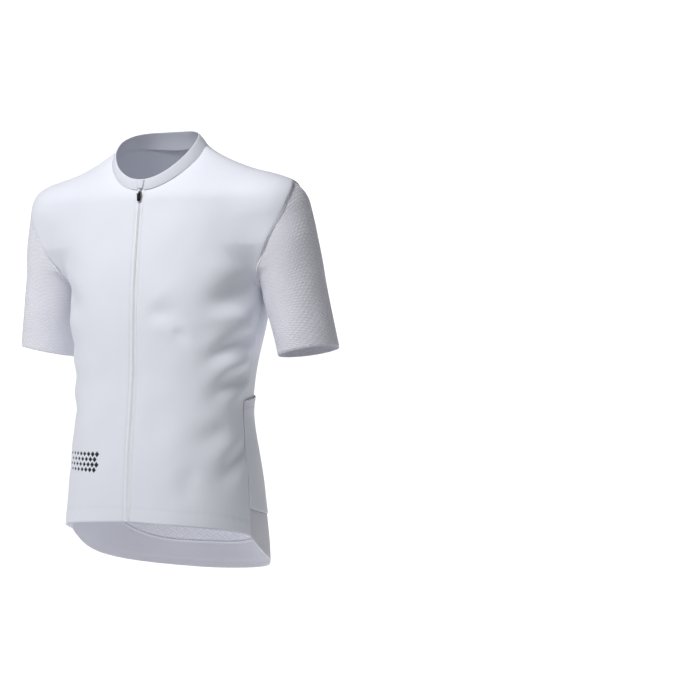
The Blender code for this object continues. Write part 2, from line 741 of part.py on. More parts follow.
def build_zip():
    """Tapes, chain, garage, slider, pull tab and bottom stop."""
    path = middle_path()
    white, black = ("zip_white", ZIP_WHITE), ("black_metal", BLACK_METAL)
    outer = ZIP_OPENING - SEAM_GAP
    strip_along("zip_tape_left", white, path, TAPE_INNER, outer, CLOTH)
    strip_along("zip_tape_right", white, path, -outer, -TAPE_INNER, CLOTH)
    strip_along("zip_chain", white, path[:-1], -CHAIN_HALF_WIDTH, CHAIN_HALF_WIDTH, CHAIN_THICKNESS)

    ups = np.linspace(GARAGE_LOW, 1.0, 4)
    front = np.stack([neck_point(0, up) for up in ups])
    half = np.linspace(GARAGE_FOOT_HALF, GARAGE_TOP_HALF, 4)
    face = COLLAR_WALL / 2 + LAYER_GAP + GARAGE_WALL / 2 + 0.0006
    strip_along("zip_garage", ("smooth_knit", SMOOTH_KNIT), front, -half, half, GARAGE_WALL, face)

    middle, up = slider_place()
    face = CHAIN_THICKNESS / 2 + LAYER_GAP
    front_face = face + SLIDER_THICKNESS
    pivot = front_face + PIVOT_ROOM
    slider = block("zip_slider", black, (-SLIDER_HALF_WIDTH, face, -SLIDER_LENGTH / 2),
                   (SLIDER_HALF_WIDTH, front_face, SLIDER_LENGTH / 2))
    reach = PIVOT_ROOM + BRIDGE_WALL
    arch = block("arch", black, (-BRIDGE_HALF_WIDTH, front_face - 0.0002, -reach),
                 (BRIDGE_HALF_WIDTH, pivot + reach, reach))
    hole = block("hole", black, (-0.003, pivot - PIVOT_ROOM, -PIVOT_ROOM), (0.003, pivot + PIVOT_ROOM, PIVOT_ROOM))
    fused(arch, hole, "DIFFERENCE")
    fused(slider, arch, "UNION")
    half = TAB_THICKNESS / 2
    tab = block("zip_pull", black, (-TAB_HALF_WIDTH, pivot - half, -TAB_LENGTH + half),
                (TAB_HALF_WIDTH, pivot + half, half))
    for vertex in tab.data.vertices:
        if vertex.co.z < 0:
            vertex.co.x *= TAB_FOOT_HALF / TAB_HALF_WIDTH
    hole = block("hole", black, (-0.0014, pivot - 0.01, -TAB_HOLE), (0.0014, pivot + 0.01, -half))
    fused(tab, hole, "DIFFERENCE")
    for made in (slider, tab):
        stand_on(made, middle, up)
        made.data.set_sharp_from_angle(angle=math.radians(30))

    foot_up = path[1] - path[0]
    foot_up = foot_up / np.linalg.norm(foot_up)
    stop = block("zip_stop", white, (-STOP_HALF_WIDTH, face, 0.0008),
                 (STOP_HALF_WIDTH, face + 0.0011, 0.0008 + STOP_HEIGHT))
    stand_on(stop, path[0], foot_up)


def main():
    """Builds every piece."""
    for old in list(bpy.data.objects):
        bpy.data.objects.remove(old)
    build_body()
    build_collar()
    build_tail()
    build_pockets()
    build_zip()


main()
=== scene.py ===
"""The looks of a short-sleeved cycling jersey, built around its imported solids.

Metres, +Z up. The front faces -Y and the wearer's left is +X. The origin lies between
the shoulders, at the height where the shoulder seams reach the collar.

Each cloth piece is a thin shell on the same smooth skin as its solid, with soft folds, sewn
edges and a knit finish. The zip has its own teeth, slider and hinged pull tab.
"""

from __future__ import annotations

import json
import logging
import math
from dataclasses import dataclass, field
from enum import Enum
from typing import Callable, NamedTuple, Sequence

import bmesh
import bpy
import numpy as np
from mathutils import Matrix, Vector

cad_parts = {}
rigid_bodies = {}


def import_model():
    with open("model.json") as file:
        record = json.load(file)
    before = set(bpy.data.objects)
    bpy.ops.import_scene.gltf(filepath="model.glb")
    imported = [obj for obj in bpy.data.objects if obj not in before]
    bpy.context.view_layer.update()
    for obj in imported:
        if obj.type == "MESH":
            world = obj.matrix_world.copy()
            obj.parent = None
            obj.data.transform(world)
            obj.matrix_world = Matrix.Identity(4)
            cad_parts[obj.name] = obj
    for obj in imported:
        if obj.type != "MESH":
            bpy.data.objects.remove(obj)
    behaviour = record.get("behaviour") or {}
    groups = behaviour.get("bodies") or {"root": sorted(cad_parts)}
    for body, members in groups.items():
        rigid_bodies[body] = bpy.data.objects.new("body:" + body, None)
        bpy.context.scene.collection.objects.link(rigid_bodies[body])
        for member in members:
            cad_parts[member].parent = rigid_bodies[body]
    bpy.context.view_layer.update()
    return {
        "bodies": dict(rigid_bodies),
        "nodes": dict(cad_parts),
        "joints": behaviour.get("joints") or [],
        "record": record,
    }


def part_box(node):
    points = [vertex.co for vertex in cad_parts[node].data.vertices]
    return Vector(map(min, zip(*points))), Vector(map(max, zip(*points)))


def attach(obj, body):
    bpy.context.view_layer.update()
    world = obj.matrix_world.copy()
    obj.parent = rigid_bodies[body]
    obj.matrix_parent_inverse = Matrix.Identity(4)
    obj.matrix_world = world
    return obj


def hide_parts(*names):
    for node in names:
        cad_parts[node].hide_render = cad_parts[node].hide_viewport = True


LOG = logging.getLogger("jersey")
Grid = np.ndarray
MIRROR = np.array((-1.0, 1.0, 1.0))
# Distances from a sewn edge at which a grid has extra rows or columns.
SEWN_STEPS = np.array((0.0004, 0.0009, 0.0016))
# How far a seam that is drawn back pulls the cloth behind it.
DRAWN_REACH = 0.006


class Side(Enum):
    """The wearer's two sides."""

    LEFT = "left"
    RIGHT = "right"

    def place(self, grid: Grid) -> Grid:
        """The grid, which is given for the left, on this side."""
        return grid if self is Side.LEFT else grid * MIRROR


class Face(Enum):
    """The two faces of the torso."""

    FRONT = "front"
    BACK = "back"


# ================================================================ the skin
class Section(NamedTuple):
    """A horizontal section of the torso: half width, reach to front and back, Y of the widest line."""

    height: float
    half_width: float
    front: float
    back: float
    widest: float
    squareness: float


class NeckRing(NamedTuple):
    """An edge of the collar: its plan, and its height as a mean, a tilt to the front and a saddle."""

    half_width: float
    half_depth: float
    middle: float
    mean: float
    tilt: float
    saddle: float


class SleeveRing(NamedTuple):
    """The sleeve's radius at a share of the way from the shoulder joint to the cuff."""

    share: float
    radius: float


TORSO = (
    Section(-0.700, 0.1570, -0.147, 0.112, -0.014, 2.50),
    Section(-0.620, 0.1555, -0.147, 0.110, -0.014, 2.50),
    Section(-0.560, 0.1520, -0.146, 0.103, -0.016, 2.50),
    Section(-0.500, 0.1455, -0.143, 0.093, -0.020, 2.50),
    Section(-0.445, 0.1385, -0.138, 0.080, -0.024, 2.45),
    Section(-0.395, 0.1350, -0.131, 0.069, -0.027, 2.40),
    Section(-0.350, 0.1400, -0.126, 0.074, -0.023, 2.40),
    Section(-0.300, 0.1465, -0.125, 0.086, -0.015, 2.45),
    Section(-0.250, 0.1525, -0.125, 0.097, -0.008, 2.50),
    Section(-0.216, 0.1572, -0.123, 0.102, -0.004, 2.50),
    Section(-0.170, 0.1660, -0.118, 0.104, -0.005, 2.45),
    Section(-0.130, 0.1780, -0.112, 0.101, -0.008, 2.30),
    Section(-0.095, 0.1930, -0.107, 0.093, -0.012, 2.15),
    Section(-0.070, 0.2060, -0.104, 0.083, -0.016, 2.00),
    Section(-0.053, 0.1880, -0.089, 0.072, -0.019, 2.00),
    Section(-0.037, 0.1490, -0.078, 0.061, -0.024, 2.00),
    Section(-0.020, 0.1090, -0.066, 0.046, -0.030, 2.00),
    Section(-0.004, 0.0780, -0.052, 0.028, -0.034, 2.05),
    Section(0.012, 0.0640, -0.045, 0.018, -0.036, 2.10),
    Section(0.050, 0.0550, -0.038, 0.010, -0.036, 2.10),
)
NECK = (
    NeckRing(0.0750, 0.0610, -0.0410, -0.0202, -0.0368, -0.0125),
    NeckRing(0.0650, 0.0520, -0.0510, -0.0035, -0.0418, -0.0085),
)
SLEEVE = (
    SleeveRing(0.00, 0.0480),
    SleeveRing(0.10, 0.0500),
    SleeveRing(0.25, 0.0495),
    SleeveRing(0.45, 0.0468),
    SleeveRing(0.65, 0.0460),
    SleeveRing(1.00, 0.0450),
    SleeveRing(1.30, 0.0445),
)


def column(table: Sequence[NamedTuple], name: str, where: np.ndarray) -> np.ndarray:
    """A column of a table, read between its rows and averaged so that it has no kinks.

    Args:
        table: Rows whose first value is their place.
        name: The column to read.
        where: The places to read it at.

    Returns:
        The column's value at each place.
    """
    ease = 0.014 if table is TORSO else 0.1
    places = [row[0] for row in table]
    spans = [getattr(row, name) for row in table]
    shifts = np.linspace(-ease, ease, 9)
    return np.mean([np.interp(where + shift, places, spans) for shift in shifts], axis=0)


@dataclass(frozen=True)
class Skin:
    """The surface that every cloth piece lies on: a torso that flows into two sleeves."""

    armpit: float = -0.2165
    shoulder_joint: tuple[float, float, float] = (0.185, -0.016, -0.104)
    cuff_centre: tuple[float, float, float] = (0.2235, 0.012, -0.3105)
    sleeve_depth_ratio: float = 1.16
    blend_shoulder: float = 0.055
    blend_armpit: float = 0.006
    blend_rise: float = 0.065
    arms_blend: float = 0.7
    arms_rise: float = 0.03
    arms_clear: float = 0.04

    @property
    def arm(self) -> np.ndarray:
        """The way from the shoulder joint to the cuff's centre."""
        return np.array(self.cuff_centre) - np.array(self.shoulder_joint)

    def torso(self, points: np.ndarray) -> np.ndarray:
        """Signed distance to the torso, measured level from the middle of the section.

        Args:
            points: One row of three coordinates for each point.

        Returns:
            A distance for each point, negative inside.
        """
        height = points[:, 2]
        half_width = column(TORSO, "half_width", height)
        widest = column(TORSO, "widest", height)
        squareness = column(TORSO, "squareness", height)
        across = np.abs(points[:, 0])
        along = points[:, 1] - widest
        ahead = widest - column(TORSO, "front", height)
        behind = column(TORSO, "back", height) - widest
        depth = np.where(along < 0, ahead, behind)
        size = (across / half_width) ** squareness + (np.abs(along) / depth) ** squareness
        size = np.maximum(size, 1e-9) ** (1 / squareness)
        return np.hypot(across, along) * (1 - 1 / size)

    def sleeve(self, points: np.ndarray) -> np.ndarray:
        """Signed distance to the sleeve on the side that each point is on.

        Args:
            points: One row of three coordinates for each point.

        Returns:
            A distance for each point, negative inside.
        """
        axis, joint = self.arm, np.array(self.shoulder_joint)
        folded = points * 1.0
        folded[:, 0] = np.abs(folded[:, 0])
        share = np.maximum((folded - joint) @ axis / (axis @ axis), 0)
        away = folded - (joint + share[:, None] * axis)
        away[:, 1] /= self.sleeve_depth_ratio
        return np.linalg.norm(away, axis=1) - column(SLEEVE, "radius", share)

    def whole(self, points: np.ndarray) -> np.ndarray:
        """Signed distance to torso and sleeves together, with a soft join between them.

        Args:
            points: One row of three coordinates for each point.

        Returns:
            A distance for each point, negative inside.
        """
        torso, sleeve = self.torso(points), self.sleeve(points)
        rise = np.clip((points[:, 2] - self.armpit) / self.blend_rise, 0, 1)
        soft = self.blend_armpit + (self.blend_shoulder - self.blend_armpit) * rise
        near = np.maximum(soft - np.abs(torso - sleeve), 0) / soft
        return np.minimum(torso, sleeve) - near**2 * soft / 4

    def arms(self, points: np.ndarray) -> np.ndarray:
        """Like the whole skin, but below the armpit the torso is out of the sleeve's way.

        Args:
            points: One row of three coordinates for each point.

        Returns:
            A distance for each point, negative inside.
        """
        low = 1 - np.clip((points[:, 2] - self.armpit) / self.arms_rise, 0, 1)
        torso, sleeve = self.torso(points) + self.arms_clear * low, self.sleeve(points)
        soft = self.blend_shoulder * self.arms_blend
        near = np.maximum(soft - np.abs(torso - sleeve), 0) / soft
        return np.minimum(torso, sleeve) - near**2 * soft / 4

    def settle(self, points: np.ndarray, distance: Callable | None = None) -> np.ndarray:
        """The points moved to the skin, each the short way.

        Args:
            points: An array of points, of any shape that ends in 3.
            distance: One of the skin's distances; the whole skin's if left out.

        Returns:
            The moved points, in the same shape.
        """
        distance = distance or self.whole
        points = np.array(points, float)
        shape = points.shape
        points = points.reshape(-1, 3)
        step = 2e-4
        for _ in range(7):
            sides = [distance(points + s) - distance(points - s) for s in np.eye(3) * step]
            grade = np.stack(sides, axis=1) / (2 * step)
            steep = np.maximum((grade**2).sum(1), 0.05)
            points = points - (distance(points) / steep)[:, None] * grade
        return points.reshape(shape)


# ================================================================ curves and grids
def travelled(points: np.ndarray) -> np.ndarray:
    """The distance along a line of points, from 0 at its start."""
    steps = np.linalg.norm(np.diff(points, axis=0), axis=1)
    return np.concatenate([[0.0], np.cumsum(steps)])


def along(points: np.ndarray, shares: np.ndarray) -> np.ndarray:
    """Points at shares of a line's length.

    Args:
        points: The line.
        shares: Shares of its length, from 0 to 1.

    Returns:
        A point for each share.
    """
    points = np.asarray(points, float)
    way = travelled(points)
    return np.stack([np.interp(shares * way[-1], way, c) for c in points.T], axis=1)


def smooth_line(points: np.ndarray, per_span: int = 12) -> np.ndarray:
    """A smooth curve through a few points.

    Args:
        points: The points that it passes through.
        per_span: How many steps between two of them.

    Returns:
        The points of the curve.
    """
    points = np.asarray(points, float)
    first, last = 2 * points[0] - points[1], 2 * points[-1] - points[-2]
    padded = np.vstack([first, points, last])
    found = []
    for a, b, c, d in zip(padded, padded[1:], padded[2:], padded[3:]):
        for t in np.arange(per_span) / per_span:
            cubic = -a + 3 * b - 3 * c + d
            square = 2 * a - 5 * b + 4 * c - d
            found.append(0.5 * (2 * b + (c - a) * t + square * t**2 + cubic * t**3))
    return np.array(found + [points[-1]])


def stations(count: int, length: float, low: bool = True, high: bool = True) -> np.ndarray:
    """Shares from 0 to 1, evenly spread but closer together by a sewn edge.

    Args:
        count: How many even steps.
        length: The real length that the shares span.
        low: Whether the edge at 0 is sewn.
        high: Whether the edge at 1 is sewn.

    Returns:
        The shares in rising order.
    """
    close = SEWN_STEPS / length
    parts = [np.linspace(0, 1, count + 1)]
    parts += [close] if low else []
    parts += [1 - close] if high else []
    return np.unique(np.round(np.concatenate(parts), 7))


def coons(bottom: Grid, top: Grid, start: Grid, end: Grid, u: np.ndarray, v: np.ndarray) -> Grid:
    """A grid spanned by its four edges. Rows run from bottom to top.

    Args:
        bottom: Points of the first row.
        top: Points of the last row.
        start: Points of the first column.
        end: Points of the last column.
        u: The share of the way across at each column.
        v: The share of the way up at each row.

    Returns:
        The grid of points.
    """
    u, v = u[None, :, None], v[:, None, None]
    rows = (1 - v) * bottom[None] + v * top[None]
    columns = (1 - u) * start[:, None] + u * end[:, None]
    corners = (1 - v) * ((1 - u) * bottom[0] + u * bottom[-1])
    corners = corners + v * ((1 - u) * top[0] + u * top[-1])
    return rows + columns - corners


def across_middle(half: Grid) -> Grid:
    """A whole patch from a left half whose first column lies on the middle line."""
    return np.concatenate([(half * MIRROR)[:, :0:-1], half], axis=1)


def normals_of(grid: Grid, ring: bool = False) -> Grid:
    """Unit normals of a grid from its own rows and columns, on the side away from the middle.

    Args:
        grid: Rows and columns of points.
        ring: Whether the last column joins the first.

    Returns:
        A normal for each point.
    """
    wide = np.concatenate([grid[:, -1:], grid, grid[:, :1]], 1) if ring else grid
    rise = np.gradient(grid, axis=0)
    run = np.gradient(wide, axis=1)
    run = run[:, 1:-1] if ring else run
    normal = np.cross(run, rise)
    normal /= np.maximum(np.linalg.norm(normal, axis=-1, keepdims=True), 1e-12)
    if ring:
        away = grid - grid.mean(axis=(0, 1))
    else:
        away = (grid - np.array((0, -0.02, 0))) * np.array((1, 1, 0))
    return normal if (normal * away).sum() > 0 else -normal


def outwards_of(path: Grid) -> Grid:
    """Unit normals of a line on the front's middle plane, on the side away from the body.

    Args:
        path: Points with X = 0.

    Returns:
        A normal for each point.
    """
    out = np.cross((1.0, 0.0, 0.0), np.gradient(path, axis=0))
    out /= np.linalg.norm(out, axis=1, keepdims=True)
    return np.where(out[:, 1:2] > 0, -out, out)


def to_edges(grid: Grid) -> dict[str, np.ndarray]:
    """How far each point lies from the grid's four edges, along its own row or column.

    Args:
        grid: Rows and columns of points.

    Returns:
        A distance for each point, by the name of the edge.
    """
    across = np.linalg.norm(np.diff(grid, axis=1), axis=-1).cumsum(1)
    across = np.concatenate([np.zeros((len(grid), 1)), across], 1)
    up = np.linalg.norm(np.diff(grid, axis=0), axis=-1).cumsum(0)
    up = np.concatenate([np.zeros((1, grid.shape[1])), up], 0)
    return {"start": across, "end": across[:, -1:] - across, "bottom": up, "top": up[-1:] - up}


# ================================================================ folds
class Fold(NamedTuple):
    """A soft trough in the cloth: points (X, height) on one face, its width and its depth.

    A negative depth makes a ridge. The ends fade over their shares of the length.
    """

    face: Face
    route: tuple[tuple[float, float], ...]
    width: float
    depth: float
    fade_in: float = 0.3
    fade_out: float = 0.5


# Folds on the front, on the wearer's left first, then on the right.
FRONT_FOLDS = (
    Fold(Face.FRONT, ((0.168, -0.196), (0.150, -0.216), (0.124, -0.236), (0.086, -0.246)),
         0.022, 0.0072, 0.30, 0.6),
    Fold(Face.FRONT, ((0.150, -0.258), (0.118, -0.262), (0.084, -0.258)), 0.013, -0.0041, 0.3, 0.6),
    Fold(Face.FRONT, ((0.149, -0.282), (0.128, -0.306), (0.100, -0.334), (0.088, -0.340)),
         0.012, 0.0058, 0.2, 0.6),
    Fold(Face.FRONT, ((0.145, -0.322), (0.122, -0.334), (0.104, -0.352)), 0.010, -0.0032, 0.3, 0.5),
    Fold(Face.FRONT, ((0.142, -0.340), (0.126, -0.364), (0.106, -0.388), (0.096, -0.392)),
         0.012, 0.0049, 0.2, 0.6),
    Fold(Face.FRONT, ((0.060, -0.276), (0.074, -0.290), (0.070, -0.304)), 0.009, 0.0019, 0.4, 0.5),
    Fold(Face.FRONT, ((0.130, -0.418), (0.108, -0.440), (0.084, -0.452)), 0.015, 0.0029, 0.3, 0.6),
    Fold(Face.FRONT, ((0.146, -0.446), (0.136, -0.480), (0.122, -0.520)), 0.014, 0.0043, 0.3, 0.5),
    Fold(Face.FRONT, ((0.100, -0.470), (0.090, -0.504), (0.088, -0.540)), 0.014, 0.0020, 0.4, 0.4),
    Fold(Face.FRONT, ((0.012, -0.250), (0.044, -0.253), (0.080, -0.246)), 0.014, 0.0032, 0.5, 0.5),
    Fold(Face.FRONT, ((-0.160, -0.196), (-0.138, -0.222), (-0.104, -0.242), (-0.060, -0.250)),
         0.017, 0.0048, 0.15, 0.6),
    Fold(Face.FRONT, ((-0.152, -0.262), (-0.116, -0.268), (-0.080, -0.264)), 0.012, -0.0023, 0.3, 0.6),
    Fold(Face.FRONT, ((-0.148, -0.290), (-0.118, -0.306), (-0.092, -0.304)), 0.010, 0.0025, 0.2, 0.6),
    Fold(Face.FRONT, ((-0.142, -0.336), (-0.112, -0.352), (-0.078, -0.356), (-0.050, -0.350)),
         0.013, 0.0023, 0.2, 0.7),
    Fold(Face.FRONT, ((-0.138, -0.386), (-0.108, -0.402), (-0.082, -0.404)), 0.012, 0.0019, 0.2, 0.6),
    Fold(Face.FRONT, ((-0.145, -0.440), (-0.130, -0.478), (-0.124, -0.516)), 0.014, 0.0019, 0.3, 0.5),
    Fold(Face.FRONT, ((-0.030, -0.380), (-0.044, -0.430), (-0.040, -0.480)), 0.018, 0.0017, 0.5, 0.5),
    Fold(Face.FRONT, ((0.034, -0.360), (0.040, -0.420), (0.034, -0.480)), 0.018, 0.0017, 0.5, 0.5),
)
# Folds on the back above the pockets: long, nearly upright ones from the shoulder blades down.
BACK_FOLDS = (
    Fold(Face.BACK, ((0.032, -0.170), (0.041, -0.240), (0.051, -0.310), (0.058, -0.374)),
         0.0075, 0.0036, 0.5, 0.05),
    Fold(Face.BACK, ((0.045, -0.200), (0.054, -0.270), (0.066, -0.374)), 0.0070, -0.0022, 0.5, 0.08),
    Fold(Face.BACK, ((-0.070, -0.175), (-0.072, -0.260), (-0.067, -0.374)), 0.0062, 0.0036, 0.5, 0.05),
    Fold(Face.BACK, ((-0.084, -0.180), (-0.083, -0.270), (-0.077, -0.376)), 0.0062, 0.0030, 0.5, 0.05),
    Fold(Face.BACK, ((-0.077, -0.220), (-0.077, -0.290), (-0.0715, -0.374)), 0.0045, -0.0020, 0.5, 0.10),
    Fold(Face.BACK, ((-0.111, -0.170), (-0.115, -0.260), (-0.104, -0.376)), 0.0140, 0.0034, 0.5, 0.10),
    Fold(Face.BACK, ((-0.052, -0.280), (-0.050, -0.330), (-0.0535, -0.374)), 0.0050, 0.0018, 0.5, 0.10),
    Fold(Face.BACK, ((0.100, -0.180), (0.108, -0.270), (0.104, -0.380)), 0.0150, 0.0022, 0.5, 0.20),
    Fold(Face.BACK, ((0.000, -0.130), (-0.006, -0.220), (-0.010, -0.340)), 0.0200, 0.0016, 0.5, 0.30),
    Fold(Face.BACK, ((0.150, -0.190), (0.128, -0.250), (0.112, -0.300)), 0.0110, 0.0026, 0.2, 0.60),
    Fold(Face.BACK, ((-0.150, -0.190), (-0.130, -0.244), (-0.118, -0.290)), 0.0110, 0.0026, 0.2, 0.60),
    Fold(Face.BACK, ((0.086, -0.332), (0.084, -0.352), (0.088, -0.376)), 0.0045, 0.0012, 0.5, 0.10),
    Fold(Face.BACK, ((-0.092, -0.336), (-0.095, -0.356), (-0.094, -0.378)), 0.0040, 0.0012, 0.5, 0.10),
)
# Folds of the pocket panels: gathers that run down and out from the tops of the dividers.
POCKET_FOLDS = (
    Fold(Face.BACK, ((0.0600, -0.388), (0.0660, -0.412), (0.0800, -0.440), (0.0920, -0.462)),
         0.0052, 0.0026, 0.15, 0.6),
    Fold(Face.BACK, ((0.0620, -0.400), (0.0700, -0.444), (0.0830, -0.491), (0.0975, -0.527)),
         0.0058, 0.0022, 0.25, 0.6),
    Fold(Face.BACK, ((0.0720, -0.390), (0.0860, -0.408), (0.1060, -0.420)), 0.0050, 0.0016, 0.15, 0.6),
    Fold(Face.BACK, ((-0.0530, -0.388), (-0.0300, -0.410), (-0.0060, -0.448), (0.0110, -0.478)),
         0.0068, 0.0034, 0.12, 0.6),
    Fold(Face.BACK, ((-0.0530, -0.394), (-0.0400, -0.436), (-0.0200, -0.486)), 0.0060, 0.0034, 0.12, 0.6),
    Fold(Face.BACK, ((-0.0535, -0.402), (-0.0500, -0.452), (-0.0400, -0.512)), 0.0052, 0.0026, 0.20, 0.6),
    Fold(Face.BACK, ((-0.0400, -0.404), (-0.0180, -0.438), (0.0010, -0.470)), 0.0050, -0.0018, 0.20, 0.6),
    Fold(Face.BACK, ((-0.0600, -0.388), (-0.0860, -0.398), (-0.1180, -0.414)), 0.0056, 0.0032, 0.12, 0.5),
    Fold(Face.BACK, ((-0.0600, -0.394), (-0.0800, -0.418), (-0.1010, -0.442)), 0.0064, 0.0036, 0.12, 0.6),
    Fold(Face.BACK, ((-0.0940, -0.388), (-0.1080, -0.404), (-0.1180, -0.430)), 0.0050, 0.0020, 0.20, 0.5),
    Fold(Face.BACK, ((-0.1080, -0.500), (-0.1160, -0.480), (-0.1240, -0.452)), 0.0070, 0.0018, 0.30, 0.5),
    Fold(Face.BACK, ((0.0080, -0.386), (0.0030, -0.400), (0.0000, -0.412)), 0.0036, 0.0012, 0.10, 0.6),
    Fold(Face.BACK, ((0.0250, -0.386), (0.0240, -0.396), (0.0220, -0.404)), 0.0034, 0.0010, 0.10, 0.6),
    Fold(Face.BACK, ((-0.0200, -0.386), (-0.0240, -0.398), (-0.0260, -0.408)), 0.0036, 0.0012, 0.10, 0.6),
    Fold(Face.BACK, ((0.0500, -0.388), (0.0440, -0.410), (0.0360, -0.430)), 0.0050, 0.0016, 0.15, 0.6),
)


class Ripple(NamedTuple):
    """A faint swell all over the cloth: its wave's way and length, and its height."""

    way: tuple[float, float, float]
    length: float
    height: float
    phase: float


RIPPLES = (
    Ripple((0.9, 0.3, 0.5), 0.115, 0.00050, 0.4),
    Ripple((-0.6, 0.5, 0.9), 0.083, 0.00035, 2.1),
    Ripple((0.3, -0.8, 1.0), 0.061, 0.00022, 4.0),
    Ripple((1.0, 0.1, -0.4), 0.043, 0.00012, 1.3),
)


# Y of a plane beyond the cloth on each face.
BEYOND = {Face.FRONT: -0.16, Face.BACK: 0.13}


@dataclass
class Drape:
    """All the folds of the worn cloth, as one field that neighbouring pieces share."""

    skin: Skin
    folds: tuple[Fold, ...]
    puffed: bool = False
    lines: list[np.ndarray] = field(default_factory=list)

    def __post_init__(self) -> None:
        """Lays each fold's route on the skin."""
        for fold in self.folds:
            seed = np.array([(x, BEYOND[fold.face], z) for x, z in fold.route])
            self.lines.append(smooth_line(self._pressed(seed), 8))

    def _pressed(self, points: np.ndarray) -> np.ndarray:
        """Points moved level along Y until they meet the skin.

        Args:
            points: Points beyond the cloth.

        Returns:
            The moved points.
        """
        points = points * 1.0
        middle = column(TORSO, "widest", points[:, 2])
        far = points[:, 1].copy()
        near = middle
        for _ in range(26):
            half = (far + near) / 2
            trial = np.stack([points[:, 0], half, points[:, 2]], axis=1)
            outside = self.skin.whole(trial) > 0
            far, near = np.where(outside, half, far), np.where(outside, near, half)
        points[:, 1] = (far + near) / 2
        return points

    def height(self, points: np.ndarray, strength: float = 1.0) -> np.ndarray:
        """How far the cloth stands off the skin at each point.

        Args:
            points: An array of points, of any shape that ends in 3.
            strength: A factor on the folds.

        Returns:
            The offsets along the normals, in the array's shape without its last axis.
        """
        flat = points.reshape(-1, 3)
        offset = np.zeros(len(flat))
        for fold, line in zip(self.folds, self.lines):
            reach = 3.2 * fold.width
            low, high = line.min(0) - reach, line.max(0) + reach
            near = np.nonzero(((flat > low) & (flat < high)).all(1))[0]
            if len(near):
                offset[near] -= strength * self._profile(fold, line, flat[near])
        for ripple in RIPPLES:
            way = np.array(ripple.way) / np.linalg.norm(ripple.way)
            bend = 0.35 * np.sin(flat[:, 2] * 23 + ripple.phase)
            wave = np.sin(2 * math.pi * (flat @ way) / ripple.length + ripple.phase + bend)
            offset += ripple.height * wave
        return offset.reshape(points.shape[:-1])

    def _profile(self, fold: Fold, line: np.ndarray, points: np.ndarray) -> np.ndarray:
        """The depth of one fold at points near it. A puffed one stands up on both sides instead.

        Args:
            fold: The fold.
            line: Its route on the skin.
            points: One row of three coordinates for each point.

        Returns:
            How far the cloth sinks at each point.
        """
        start, step = line[:-1], np.diff(line, axis=0)
        length = np.linalg.norm(step, axis=1)
        apart = points[:, None] - start[None]
        share = np.clip((apart * step).sum(-1) / length**2, 0, 1)
        gap = np.linalg.norm(apart - share[..., None] * step, axis=-1)
        nearest = gap.argmin(1)
        rows = np.arange(len(points))
        way = np.concatenate([[0], np.cumsum(length)])
        place = (way[nearest] + share[rows, nearest] * length[nearest]) / way[-1]
        rise = np.clip(place / fold.fade_in, 0, 1)
        fall = np.clip((1 - place) / fold.fade_out, 0, 1)
        taper = (rise * rise * (3 - 2 * rise)) * (fall * fall * (3 - 2 * fall))
        width = fold.width * (0.75 + 0.5 * place)
        ratio = gap[rows, nearest] / width
        if self.puffed:
            beside = 1.05 * np.exp(-((ratio / 2.2) ** 2))
        else:
            beside = 0.30 * np.exp(-((ratio - 1.9) ** 2) / 0.8)
        trough = np.exp(-(ratio**2)) - beside
        return fold.depth * taper * trough


